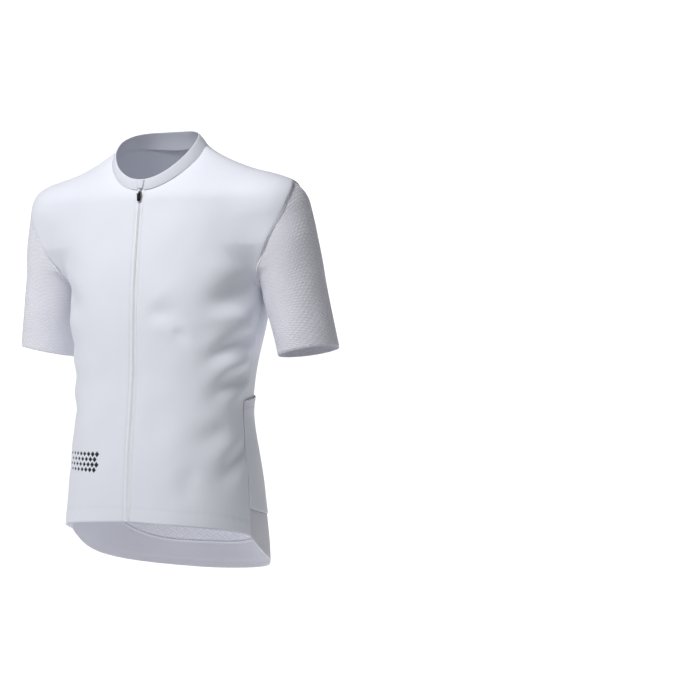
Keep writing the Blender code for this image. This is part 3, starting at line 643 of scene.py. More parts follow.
# ================================================================ the cut
@dataclass(frozen=True)
class Cut:
    """The seams and edges of the jersey, as curves on the skin, on the wearer's left."""

    skin: Skin
    cloth: float = 0.0010
    seam_gap: float = 0.00012
    hem_front: float = -0.560
    hem_side: float = -0.586
    hem_back: float = -0.657
    tail_side: float = -0.543
    tail_middle: float = -0.563
    seam_swing: float = -0.340
    side_seam_forward: float = 0.023
    shoulder_turn: float = 108.0
    zip_opening: float = 0.0052
    pocket_top_middle: float = -0.371
    pocket_top_side: float = -0.384
    pocket_divider: float = 0.0565
    pocket_band: float = 0.011
    crescent_end: float = 0.138
    crescent_drop: float = 0.051
    crescent_round: float = 3.4
    cuff_lift: float = 0.06
    neck_share: float = 6 / 11
    centre_share: float = 3 / 11
    armpit_lift: float = 0.08
    armpit_fade: float = 0.025
    armpit_point: tuple[float, float, float] = (0.1572, -0.004, -0.2165)
    shoulder_tip: tuple[float, float, float] = (0.2030, -0.018, -0.0620)
    shoulder_middle: tuple[float, float, float] = (0.140, -0.025, -0.031)
    armhole_front: tuple[tuple[float, float, float], ...] = (
        (0.160, -0.034, -0.202),
        (0.175, -0.054, -0.174),
        (0.194, -0.054, -0.130),
        (0.2015, -0.040, -0.090),
    )
    armhole_back: tuple[tuple[float, float, float], ...] = (
        (0.160, 0.034, -0.188),
        (0.168, 0.060, -0.160),
        (0.181, 0.058, -0.118),
        (0.194, 0.026, -0.080),
    )

    def neck_point(self, turn: np.ndarray | float, up: float = 0.0) -> np.ndarray:
        """Points of the collar at turns about the neck, from its seam (0) to its top edge (1).

        Args:
            turn: Degrees from the front, by way of the left.
            up: The share of the collar's height.

        Returns:
            A point for each turn.
        """
        angle = np.radians(turn)
        low, high = np.array(NECK[0]), np.array(NECK[1])
        width, depth, middle, mean, tilt, saddle = low + (high - low) * up
        across, ahead = width * np.sin(angle), middle - depth * np.cos(angle)
        height = mean + tilt * np.cos(angle) + saddle * np.cos(2 * angle)
        return np.stack([across, ahead, height], axis=-1)

    @property
    def zip_turn(self) -> float:
        """The turn about the neck at which a front meets the zip."""
        return math.degrees(math.asin(self.zip_opening / NECK[0].half_width))

    def side_y(self, height: np.ndarray) -> np.ndarray:
        """Where the side seam lies, front to back, at a height."""
        swing = np.clip((self.seam_swing - height) / (self.seam_swing - self.hem_side), 0, 1)
        return column(TORSO, "widest", height) - 0.004 - self.side_seam_forward * swing**1.3

    def arc(self, height: np.ndarray, share: np.ndarray, face: Face) -> np.ndarray:
        """Points on the torso at heights and shares of the way from the middle to the side seam.

        Args:
            height: Heights, of any shape.
            share: Shares that broadcast against the heights.
            face: The face of the torso.

        Returns:
            The points, with one more axis than the heights.
        """
        height, share = np.broadcast_arrays(np.asarray(height, float), share)
        front = face is Face.FRONT
        half_width, widest, squareness = (
            column(TORSO, name, height)[..., None] for name in ("half_width", "widest", "squareness"))
        depth = column(TORSO, face.value, height)[..., None] - widest
        angle = np.linspace(0, math.pi / 2, 61)
        x = half_width * np.sin(angle) ** (2 / squareness)
        y = widest + depth * np.cos(angle) ** (2 / squareness)
        turn_y = self.side_y(height)[..., None]
        if not front:
            back_angle = angle[::-1]
            reach_front = column(TORSO, "front", height)[..., None] - widest
            ahead = reach_front * np.cos(back_angle) ** (2 / squareness)
            x = np.concatenate([x, (half_width * np.sin(back_angle) ** (2 / squareness))[..., 1:]], -1)
            y = np.concatenate([y, (widest + ahead)[..., 1:]], -1)
        beyond = y > turn_y if front else y < turn_y
        steps = np.hypot(np.diff(x), np.diff(y))
        way = np.concatenate([np.zeros_like(steps[..., :1]), np.cumsum(steps, -1)], -1)
        found = np.empty(height.shape + (3,))
        first = self.zip_opening if front else 0.0
        for at in np.ndindex(height.shape):
            last = int(np.argmax(beyond[at]))
            part = (turn_y[at][0] - y[at][last - 1]) / (y[at][last] - y[at][last - 1])
            reach = way[at][last - 1] + part * steps[at][last - 1]
            wanted = first + (reach - first) * share[at]
            found[at] = (np.interp(wanted, way[at], x[at]), np.interp(wanted, way[at], y[at]), height[at])
        return found

    def share_at(self, across: float, height: float) -> float:
        """The share of the back's arc at a distance from the middle line."""
        shares = np.linspace(0, 0.9, 91)
        return float(np.interp(across, self.arc(height, shares, Face.BACK)[:, 0], shares))

    @property
    def divider_share(self) -> float:
        """The share of the back's arc at the pocket divider."""
        return self.share_at(self.pocket_divider, (self.pocket_top_middle + self.tail_middle) / 2)

    def sheet(self, low: Grid, high: Grid, shares: np.ndarray, rows: np.ndarray, face: Face) -> Grid:
        """A patch of the torso between two lines of heights, given at shares of the arc.

        Args:
            low: Heights of the lower line.
            high: Heights of the upper line.
            shares: Shares of the arc from the middle to the side seam.
            rows: Shares of the way up.
            face: The face of the torso.

        Returns:
            The grid.
        """
        rise = np.asarray(rows)[:, None]
        heights = (1 - rise) * np.asarray(low)[None] + rise * np.asarray(high)[None]
        return self.arc(heights, np.broadcast_to(shares, heights.shape), face)

    def hem(self, shares: np.ndarray, face: Face) -> np.ndarray:
        """Height of the hem: level at the two middles, steeper by the side seam.

        Args:
            shares: Shares of the arc from the middle to the side seam.
            face: The face of the torso.

        Returns:
            A height for each share.
        """
        if face is Face.FRONT:
            return self.hem_front + (self.hem_side - self.hem_front) * (0.35 * shares + 0.65 * shares**3)
        return self.hem_back + (self.hem_side - self.hem_back) * (0.5 * shares**2 + 0.5 * shares**4)

    def tail(self, shares: np.ndarray) -> np.ndarray:
        """Height of the seam at the foot of the back panel."""
        return self.tail_middle + (self.tail_side - self.tail_middle) * shares**4

    def crescent(self, shares: np.ndarray, end: float) -> np.ndarray:
        """Height of the lower edge of the textured tail panel."""
        drop = 1 - np.minimum(shares / end, 1) ** self.crescent_round
        return self.tail(shares) - self.crescent_drop * drop

    def mouth(self, shares: np.ndarray) -> np.ndarray:
        """Height of the pocket mouths."""
        return self.pocket_top_middle + (self.pocket_top_side - self.pocket_top_middle) * shares**2

    def shares_of(self, u: np.ndarray, face: Face) -> np.ndarray:
        """Shares of the arc at a panel's columns. The back's centre ends on the pocket divider.

        Args:
            u: Shares across the half panel.
            face: The face of the torso.

        Returns:
            A share of the arc for each column.
        """
        if face is Face.FRONT:
            return u
        divider = self.divider_share
        outer = divider + (1 - divider) * (u - self.centre_share) / (1 - self.centre_share)
        return np.where(u < self.centre_share, divider * u / self.centre_share, outer)

    def armhole(self, face: Face, shares: np.ndarray) -> Grid:
        """The armhole seam from the armpit to the shoulder tip.

        Args:
            face: The face of the torso.
            shares: Shares of the seam's length.

        Returns:
            A point for each share.
        """
        middle = self.armhole_front if face is Face.FRONT else self.armhole_back
        line = smooth_line((self.armpit_point, *middle, self.shoulder_tip))
        line[1:] = self.skin.settle(line[1:])
        rise = np.maximum(line[:, 2] - self.skin.armpit, 0)
        way = travelled(line)
        lift = self.armpit_lift * way * np.exp(-((way / self.armpit_fade) ** 2))
        line[:, 2] = self.skin.armpit + np.hypot(rise, lift)
        return along(line, shares)

    def upper_half(self, face: Face, u: np.ndarray, v: np.ndarray) -> Grid:
        """The half panel above the armpit row: middle line, neckline, shoulder seam, armhole.

        Args:
            face: The face of the torso.
            u: Shares across the half panel.
            v: Shares up the armhole.

        Returns:
            The grid.
        """
        low = self.arc(np.full(len(u), self.skin.armpit), self.shares_of(u, face), face)
        low[-1] = self.armpit_point
        arm = self.armhole(face, v)
        shoulder = smooth_line((self.neck_point(self.shoulder_turn), self.shoulder_middle, self.shoulder_tip))
        shoulder[1:-1] = self.skin.settle(shoulder[1:-1])
        shoulder[-1] = arm[-1]
        first = self.zip_turn if face is Face.FRONT else 180.0
        inner = u <= self.neck_share + 1e-9
        turns = first + (self.shoulder_turn - first) * u[inner] / self.neck_share
        outer = (u[~inner] - self.neck_share) / (1 - self.neck_share)
        top = np.vstack([self.neck_point(turns), along(shoulder, outer)])
        middle = np.linspace(low[0], top[0], 31)
        middle[1:-1] = self.skin.settle(middle[1:-1])
        middle[:, 0] = low[0][0]
        grid = coons(low, top, along(middle, v), arm, u, v)
        grid[1:-1, 1:-1] = self.skin.settle(grid[1:-1, 1:-1])
        return grid

    def cuff(self, angle: np.ndarray) -> Grid:
        """Points round the cuff at angles from the side nearest the body, by way of the front.

        Args:
            angle: Angles round the cuff, in radians.

        Returns:
            A point for each angle.
        """
        axis = self.skin.arm / np.linalg.norm(self.skin.arm)
        ahead = np.array((0.0, -1.0, self.cuff_lift))
        inwards = np.array((axis[2], 0.0, -axis[0])) / math.hypot(axis[0], axis[2])
        angle = angle[:, None]
        radius = float(column(SLEEVE, "radius", np.array(1.0)))
        ratio = self.skin.sleeve_depth_ratio
        centre = np.array(self.skin.cuff_centre)
        return centre + radius * (np.cos(angle) * inwards + ratio * np.sin(angle) * ahead)

    def zip_way(self, count: int) -> Grid:
        """The zip's way: up the middle of the front and on up the collar.

        Args:
            count: How many steps below the armpits, and how many above.

        Returns:
            The points of the way.
        """
        v = np.linspace(0, 1, count + 1)
        low = self.arc(self.hem_front + (self.skin.armpit - self.hem_front) * v, np.zeros(len(v)), Face.FRONT)
        high = np.linspace(low[-1], self.neck_point(self.zip_turn), count + 1)
        high[1:-1] = self.skin.settle(high[1:-1])
        collar = np.stack([self.neck_point(0, up) for up in np.linspace(0.075, 1.0, 9)])
        path = np.vstack([low[:-1], high[:-1], collar])
        path[:, 0] = 0
        return path


# ================================================================ meshes
def finish_mesh(name: str, bm: bmesh.types.BMesh, outwards: bool = True) -> bpy.types.Object:
    """A named object in the scene from a bmesh, shaded smooth.

    Args:
        name: The piece's name.
        bm: The mesh, which is used up.
        outwards: Whether the faces of a closed mesh are turned outwards first.

    Returns:
        The new object, at the origin.
    """
    if outwards:
        bmesh.ops.recalc_face_normals(bm, faces=bm.faces)
    mesh = bpy.data.meshes.new(name)
    bm.to_mesh(mesh)
    bm.free()
    mesh.shade_smooth()
    made = bpy.data.objects.new(name, mesh)
    bpy.context.scene.collection.objects.link(made)
    return made


def lay_grid(grid: Grid, ring: bool = False) -> bmesh.types.BMesh:
    """A sheet through a grid of points, with its real lengths as UVs, in metres.

    Args:
        grid: Rows and columns of points.
        ring: Whether the last column joins the first.

    Returns:
        The open sheet.
    """
    closed = np.concatenate([grid, grid[:, :1]], axis=1) if ring else grid
    rows, columns = closed.shape[0] - 1, closed.shape[1] - 1
    middle = closed[:, columns // 2]
    up = travelled(middle)
    across = np.mean([travelled(row) for row in closed[:: max(rows // 8, 1)]], axis=0)
    bm = bmesh.new()
    bmesh.ops.create_grid(bm, x_segments=columns, y_segments=rows, size=1.0)
    layer = bm.loops.layers.uv.new("cut")
    cells = {}
    for vertex in bm.verts:
        place = round((vertex.co.y + 1) / 2 * rows), round((vertex.co.x + 1) / 2 * columns)
        cells[vertex] = place
        vertex.co = closed[place]
    for face in bm.faces:
        for loop in face.loops:
            row, at = cells[loop.vert]
            loop[layer].uv = (across[at], up[row])
    if ring:
        bmesh.ops.remove_doubles(bm, verts=bm.verts, dist=1e-7)
    return bm


def cloth_piece(name: str, grid: Grid, thickness: float, ring: bool = False) -> bpy.types.Object:
    """A thin shell about a grid, with a rim all round.

    Args:
        name: The piece's name.
        grid: The points of the shell's middle.
        thickness: The cloth's thickness.
        ring: Whether the last column joins the first.

    Returns:
        The piece, with a live Solidify modifier.
    """
    bm = lay_grid(grid, ring)
    bm.normal_update()
    centre = grid.mean(axis=(0, 1)) if ring else np.array((0.0, -0.02, 0.0))
    facing = 0.0
    for face in bm.faces:
        away = np.array(face.calc_center_median()) - centre
        facing += face.normal.x * away[0] + face.normal.y * away[1]
    if facing < 0:
        bmesh.ops.reverse_faces(bm, faces=bm.faces)
    made = finish_mesh(name, bm, outwards=False)
    wall = made.modifiers.new("wall", "SOLIDIFY")
    wall.thickness = thickness
    wall.offset = 0.0
    wall.use_rim = True
    wall.use_quality_normals = True
    return made


def pulled(edge: Grid, inner: Grid, amount: np.ndarray | float, ring: bool = False) -> Grid:
    """An edge moved square to itself towards the points inside it.

    Args:
        edge: The points of the edge.
        inner: For each of them a point inside it.
        amount: How far it moves, as one number or one for each point.
        ring: Whether the edge is closed.

    Returns:
        The moved edge.
    """
    wide = np.concatenate([edge[-1:], edge, edge[:1]]) if ring else edge
    tangent = np.gradient(wide, axis=0)
    tangent = tangent[1:-1] if ring else tangent
    tangent /= np.linalg.norm(tangent, axis=-1, keepdims=True)
    step = inner - edge
    step = step - (step * tangent).sum(-1, keepdims=True) * tangent
    return edge + step / np.linalg.norm(step, axis=-1, keepdims=True) * np.reshape(amount, (-1, 1))


def sunk(distance: np.ndarray, depth: float = 0.00055, width: float = 0.0016) -> np.ndarray:
    """The relief of a flat seam: the edge turns in, and the cloth swells a little beside it."""
    swell = 0.00022 * np.exp(-(((distance - 0.0046) / 0.0022) ** 2))
    return swell - depth * np.exp(-((distance / width) ** 2))


def raised(distance: np.ndarray, height: float = 0.00055, width: float = 0.0018) -> np.ndarray:
    """The relief of a piped edge: a low ridge just inside the seam, which itself turns in."""
    ridge = height * np.exp(-(((distance - 0.0018) / width) ** 2))
    return ridge - 0.0002 * np.exp(-((distance / 0.0006) ** 2))


def turned_up(distance: np.ndarray, height: float, step: float = 0.00035) -> np.ndarray:
    """The relief of a turned-up hem: double cloth between the edge and its stitching.

    Args:
        distance: Distances from the edge.
        height: How far up the stitching lies.
        step: How far the double cloth stands out.

    Returns:
        The offset at each distance.
    """
    fold = 1 / (1 + np.exp(np.clip((distance - height) / 0.0007, -60, 60)))
    groove = 0.00045 * np.exp(-(((distance - height) / 0.0016) ** 2))
    return step * fold - groove


def stitched(name: str, rows: Sequence[tuple[Grid, Grid]], pitch: float = 0.0030,
             length: float = 0.0022, thread: float = 0.00028) -> bpy.types.Object:
    """Rows of machine stitches, each stitch a small slug of thread.

    Args:
        name: The piece's name.
        rows: For each row its points and the cloth's normals there.
        pitch: The distance from stitch to stitch.
        length: A stitch's length.
        thread: The thread's half thickness.

    Returns:
        All the stitches as one piece.
    """
    bm = bmesh.new()
    for points, normals in rows:
        way = travelled(points)
        count = max(int(way[-1] / pitch), 1)
        for place in (np.arange(count) + 0.5) * way[-1] / count:
            spot, ahead, behind = (
                Vector([float(np.interp(place + shift, way, c)) for c in points.T])
                for shift in (0.0, length / 2, -length / 2))
            out = Vector([float(np.interp(place, way, c)) for c in normals.T]).normalized()
            run = (ahead - behind).normalized()
            side = out.cross(run).normalized()
            turn = Matrix((run, side, out)).transposed().to_4x4()
            size = Matrix.Diagonal((length / 2, thread, thread * 0.8, 1.0))
            where = Matrix.Translation(spot) @ turn @ size
            bmesh.ops.create_icosphere(bm, subdivisions=1, radius=1.0, matrix=where)
    return finish_mesh(name, bm)


# ================================================================ finishes
class Nodes:
    """A small helper that adds and joins the nodes of one material."""

    def __init__(self, name: str) -> None:
        """Starts a material with a Principled shader."""
        self.material = bpy.data.materials.new(name)
        self.material.use_nodes = True
        self.tree = self.material.node_tree
        self.shader = self.tree.nodes["Principled BSDF"]

    def add(self, kind: str, **settings: object) -> bpy.types.Node:
        """Adds a node. A setting is a property, or an input if its name starts with a capital.

        Args:
            kind: The node's type.
            **settings: Values by name, with _ for a space in an input.

        Returns:
            The node.
        """
        node = self.tree.nodes.new(kind)
        for key, value in settings.items():
            if key[0].isupper():
                node.inputs[key.replace("_", " ")].default_value = value
            else:
                setattr(node, key, value)
        return node

    def join(self, start: bpy.types.NodeSocket, end: bpy.types.NodeSocket) -> None:
        """Links an output to an input."""
        self.tree.links.new(start, end)

    def maths(self, operation: str, *inputs: bpy.types.NodeSocket | float) -> bpy.types.NodeSocket:
        """The result of a Math node on sockets and numbers.

        Args:
            operation: The node's operation.
            *inputs: What it works on.

        Returns:
            Its output.
        """
        node = self.add("ShaderNodeMath", operation=operation)
        for place, value in enumerate(inputs):
            if isinstance(value, (int, float)):
                node.inputs[place].default_value = value
            else:
                self.join(value, node.inputs[place])
        return node.outputs[0]

    def cut_uv(self) -> tuple[bpy.types.NodeSocket, bpy.types.NodeSocket]:
        """The piece's own lengths across and up, in metres.

        Returns:
            The lengths across and up.
        """
        uv = self.add("ShaderNodeUVMap", uv_map="cut")
        split = self.add("ShaderNodeSeparateXYZ")
        self.join(uv.outputs[0], split.inputs[0])
        return split.outputs[0], split.outputs[1]

    def tinted(self, colour: tuple[float, float, float], spread: float, scale: float) -> None:
        """A base colour that drifts a little from place to place.

        Args:
            colour: The middle colour.
            spread: The share by which it drifts.
            scale: How fine the drift is.
        """
        place = self.add("ShaderNodeTexCoord")
        noise = self.add("ShaderNodeTexNoise", Scale=scale, Detail=3.0, Roughness=0.55)
        self.join(place.outputs["Object"], noise.inputs["Vector"])
        ramp = self.add("ShaderNodeValToRGB")
        low = tuple(c * (1 - spread) for c in colour)
        high = tuple(min(c * (1 + spread), 1.0) for c in colour)
        ramp.color_ramp.elements[0].position, ramp.color_ramp.elements[1].position = 0.3, 0.7
        ramp.color_ramp.elements[0].color = (*low, 1.0)
        ramp.color_ramp.elements[1].color = (*high, 1.0)
        self.join(noise.outputs["Fac"], ramp.inputs[0])
        self.join(ramp.outputs[0], self.shader.inputs["Base Color"])

    def bumped(self, height: bpy.types.NodeSocket, distance: float, strength: float = 1.0,
               under: bpy.types.NodeSocket | None = None) -> bpy.types.NodeSocket:
        """A bump from a height, on top of another one if that is given.

        Args:
            height: The relief, from 0 to 1.
            distance: How high 1 is.
            strength: How strongly it shows.
            under: The normal of a bump below.

        Returns:
            The bump's normal.
        """
        bump = self.add("ShaderNodeBump", Distance=distance, Strength=strength)
        self.join(height, bump.inputs["Height"])
        if under is not None:
            self.join(under, bump.inputs["Normal"])
        self.join(bump.outputs[0], self.shader.inputs["Normal"])
        return bump.outputs[0]

    def plain(self, **values: float | tuple) -> None:
        """Sets sockets of the shader, with _ for a space in their names."""
        for key, value in values.items():
            self.shader.inputs[key.replace("_", " ")].default_value = value


def knit_height(nodes: Nodes, across: bpy.types.NodeSocket, up: bpy.types.NodeSocket,
                wale: float, course: float) -> bpy.types.NodeSocket:
    """The relief of a fine warp knit: upright wales crossed by shorter courses.

    Args:
        nodes: The material's nodes.
        across: The length across the cloth.
        up: The length up the cloth.
        wale: The distance from wale to wale.
        course: The distance from course to course.

    Returns:
        A height from 0 to 1.
    """
    columns = nodes.maths("SINE", nodes.maths("MULTIPLY", across, 2 * math.pi / wale))
    slant = nodes.maths("MULTIPLY", columns, 0.8)
    phase = nodes.maths("ADD", nodes.maths("MULTIPLY", up, 2 * math.pi / course), slant)
    loops = nodes.maths("SINE", phase)
    mixed = nodes.maths("ADD", nodes.maths("MULTIPLY", columns, 0.30), nodes.maths("MULTIPLY", loops, 0.20))
    return nodes.maths("ADD", mixed, 0.5)


@dataclass(frozen=True)
class KnitFinish:
    """Smooth fine knit with a soft sheen."""

    name: str = "smooth_knit"
    colour: tuple[float, float, float] = (0.79, 0.81, 0.885)
    roughness: float = 0.62
    sheen: float = 0.10
    wale: float = 0.00085
    course: float = 0.00110
    relief: float = 0.00006

    def make(self) -> bpy.types.Material:
        """The finish as a material.

        Returns:
            The material.
        """
        nodes = Nodes(self.name)
        nodes.tinted(self.colour, 0.012, 9.0)
        across, up = nodes.cut_uv()
        nodes.bumped(knit_height(nodes, across, up, self.wale, self.course), self.relief, 0.7)
        nodes.plain(Roughness=self.roughness, Sheen_Weight=self.sheen, Sheen_Roughness=0.4)
        nodes.plain(Specular_IOR_Level=0.32)
        return nodes.material


@dataclass(frozen=True)
class RaisedKnitFinish:
    """Knit with small raised dashes that lean one way and then the other, in a diamond net, with painted
    shade on the cloth between the dashes.
    """

    name: str = "textured_knit"
    colour: tuple[float, float, float] = (0.86, 0.865, 0.935)
    # The darker colour that the cloth between the raised dashes is mixed towards: painted shade, not the
    # knit's own colour.
    shadow: tuple[float, float, float] = (0.67, 0.675, 0.745)
    roughness: float = 0.78
    pitch_across: float = 0.0090
    pitch_up: float = 0.0053
    relief: float = 0.0006

    def _dashes(self, nodes: Nodes, across: bpy.types.NodeSocket, up: bpy.types.NodeSocket,
                lean: float, offset: float) -> bpy.types.NodeSocket:
        """One family of slanting dashes, as a height from 0 to 1.

        Args:
            nodes: The material's nodes.
            across: The length across the cloth.
            up: The length up the cloth.
            lean: How steeply they slant.
            offset: The share of a row they are shifted.

        Returns:
            The height.
        """
        u = nodes.maths("DIVIDE", across, self.pitch_across)
        v = nodes.maths("ADD", nodes.maths("DIVIDE", up, self.pitch_up), offset)
        slanted = nodes.maths("ADD", v, nodes.maths("MULTIPLY", u, lean))
        row = nodes.maths("FLOOR", slanted)
        part = nodes.maths("SUBTRACT", nodes.maths("FRACT", slanted), 0.5)
        ridge = nodes.maths("SUBTRACT", 1.0, nodes.maths("MULTIPLY", nodes.maths("ABSOLUTE", part), 3.2))
        ridge = nodes.maths("MAXIMUM", ridge, 0.0)
        shifted = nodes.maths("ADD", u, nodes.maths("MULTIPLY", row, 0.5))
        stretch = nodes.maths("SUBTRACT", nodes.maths("FRACT", shifted), 0.5)
        ends = nodes.maths("SUBTRACT", 1.25, nodes.maths("MULTIPLY", nodes.maths("ABSOLUTE", stretch), 3.0))
        ends = nodes.maths("MINIMUM", nodes.maths("MAXIMUM", ends, 0.0), 1.0)
        return nodes.maths("MULTIPLY", ridge, ends)

    def make(self) -> bpy.types.Material:
        """The finish as a material.

        Returns:
            The material.
        """
        nodes = Nodes(self.name)
        across, up = nodes.cut_uv()
        rising = self._dashes(nodes, across, up, 0.85, 0.0)
        falling = self._dashes(nodes, across, up, -0.85, 0.25)
        weak = nodes.maths("MULTIPLY", falling, 0.30)
        net = nodes.maths("MAXIMUM", rising, weak)
        # Painted shade: away from the raised dashes the base colour is darkened towards the shadow colour,
        # and on the dashes it stays at the full colour.
        blend = nodes.add("ShaderNodeMix", data_type="RGBA")
        blend.inputs[6].default_value = (*self.shadow, 1.0)
        blend.inputs[7].default_value = (*self.colour, 1.0)
        lit = nodes.maths("MINIMUM", nodes.maths("ADD", nodes.maths("MULTIPLY", net, 1.3), 0.45), 1.0)
        nodes.join(lit, blend.inputs[0])
        nodes.join(blend.outputs[2], nodes.shader.inputs["Base Color"])
        fine = nodes.bumped(knit_height(nodes, across, up, 0.0011, 0.0013), 0.00006, 0.6)
        nodes.bumped(net, self.relief, 0.9, fine)
        nodes.plain(Roughness=self.roughness, Sheen_Weight=0.06, Sheen_Roughness=0.5)
        nodes.plain(Specular_IOR_Level=0.28)
        return nodes.material


@dataclass(frozen=True)
class RibFinish:
    """Elastic band with upright ribs."""

    name: str = "elastic_rib"
    colour: tuple[float, float, float] = (0.79, 0.81, 0.885)
    rib: float = 0.0016

    def make(self) -> bpy.types.Material:
        """The finish as a material.

        Returns:
            The material.
        """
        nodes = Nodes(self.name)
        nodes.tinted(self.colour, 0.015, 40.0)
        across, _ = nodes.cut_uv()
        ribs = nodes.maths("SINE", nodes.maths("MULTIPLY", across, 2 * math.pi / self.rib))
        nodes.bumped(nodes.maths("ADD", nodes.maths("MULTIPLY", ribs, 0.5), 0.5), 0.00014, 0.7)
        nodes.plain(Roughness=0.6, Sheen_Weight=0.15, Specular_IOR_Level=0.3)
        return nodes.material


@dataclass(frozen=True)
class TapeFinish:
    """Herringbone woven zip tape."""

    name: str = "zip_tape"
    colour: tuple[float, float, float] = (0.84, 0.85, 0.89)

    def make(self) -> bpy.types.Material:
        """The finish as a material.

        Returns:
            The material.
        """
        nodes = Nodes(self.name)
        nodes.tinted(self.colour, 0.02, 120.0)
        across, up = nodes.cut_uv()
        zigzag = nodes.maths("PINGPONG", across, 0.0009)
        phase = nodes.maths("ADD", up, zigzag)
        weave = nodes.maths("SINE", nodes.maths("MULTIPLY", phase, 2 * math.pi / 0.0007))
        nodes.bumped(nodes.maths("ADD", nodes.maths("MULTIPLY", weave, 0.5), 0.5), 0.00008, 0.8)
        nodes.plain(Roughness=0.55, Specular_IOR_Level=0.35)
        return nodes.material


@dataclass(frozen=True)
class SolidFinish:
    """A finish without a weave: a drifting colour and a fine grain."""

    name: str
    colour: tuple[float, float, float]
    roughness: float
    metallic: float = 0.0
    grain: float = 900.0
    relief: float = 0.00002
    coat: float = 0.0
    spread: float = 0.03
    glow: float = 0.0

    def make(self) -> bpy.types.Material:
        """The finish as a material.

        Returns:
            The material.
        """
        nodes = Nodes(self.name)
        nodes.tinted(self.colour, self.spread, 160.0)
        place = nodes.add("ShaderNodeTexCoord")
        noise = nodes.add("ShaderNodeTexNoise", Scale=self.grain, Detail=2.0)
        nodes.join(place.outputs["Object"], noise.inputs["Vector"])
        nodes.bumped(noise.outputs["Fac"], self.relief, 0.6)
        nodes.plain(Roughness=self.roughness, Metallic=self.metallic, Coat_Weight=self.coat,
                    Emission_Color=(1.0, 1.0, 1.0, 1.0), Emission_Strength=self.glow)
        return nodes.material


@dataclass(frozen=True)
class BeadFinish:
    """Grey reflective film: tiny glass beads in a fine net."""

    name: str = "reflective"
    colour: tuple[float, float, float] = (0.155, 0.165, 0.185)

    def make(self) -> bpy.types.Material:
        """The finish as a material.

        Returns:
            The material.
        """
        nodes = Nodes(self.name)
        nodes.tinted(self.colour, 0.10, 60.0)
        across, up = nodes.cut_uv()
        flat = nodes.add("ShaderNodeCombineXYZ")
        nodes.join(across, flat.inputs[0])
        nodes.join(up, flat.inputs[1])
        beads = nodes.add("ShaderNodeTexVoronoi", Scale=2200.0)
        nodes.join(flat.outputs[0], beads.inputs["Vector"])
        nodes.bumped(beads.outputs["Distance"], 0.00004, 0.6)
        nodes.plain(Roughness=0.34, Metallic=0.35, Specular_IOR_Level=0.6)
        return nodes.material


class Look(Enum):
    """The finishes by the piece that wears them."""

    SMOOTH = KnitFinish()
    TEXTURED = RaisedKnitFinish()
    HEM = KnitFinish("hem_knit", (0.69, 0.695, 0.76), 0.72, 0.10, 0.0010, 0.0012)
    RIB = RibFinish()
    TAPE = TapeFinish()
    TEETH = SolidFinish("zip_teeth", (0.82, 0.84, 0.90), 0.36, coat=0.1)
    THREAD = SolidFinish("thread", (0.66, 0.67, 0.73), 0.7, grain=2500.0)
    REFLECTIVE = BeadFinish()
    BLACK = SolidFinish("black_metal", (0.012, 0.012, 0.014), 0.30, 0.55, coat=0.35)
    INK = SolidFinish("black_print", (0.014, 0.014, 0.017), 0.48, grain=1400.0, spread=0.15)
    PAPER = SolidFinish("pale_floor", (0.90, 0.90, 0.91), 0.9, grain=3.0, relief=0.0, glow=0.85)
    GROUND = SolidFinish("pale_ground", (0.50, 0.50, 0.515), 0.9, grain=3.0, relief=0.0)


_MADE: dict[Look, bpy.types.Material] = {}


def dress(piece: bpy.types.Object, look: Look, slot: str | None = None,
          body: str = "jersey") -> bpy.types.Object:
    """Gives a piece its material, and puts it on its body if a slot is named.

    Args:
        piece: The finished piece.
        look: Its finish.
        slot: The record's material slot; none for the stage.
        body: The body that it rides on.

    Returns:
        The same piece.
    """
    if look not in _MADE:
        _MADE[look] = look.value.make()
    piece.data.materials.clear()
    piece.data.materials.append(_MADE[look])
    if slot:
        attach(piece, body)
    return piece


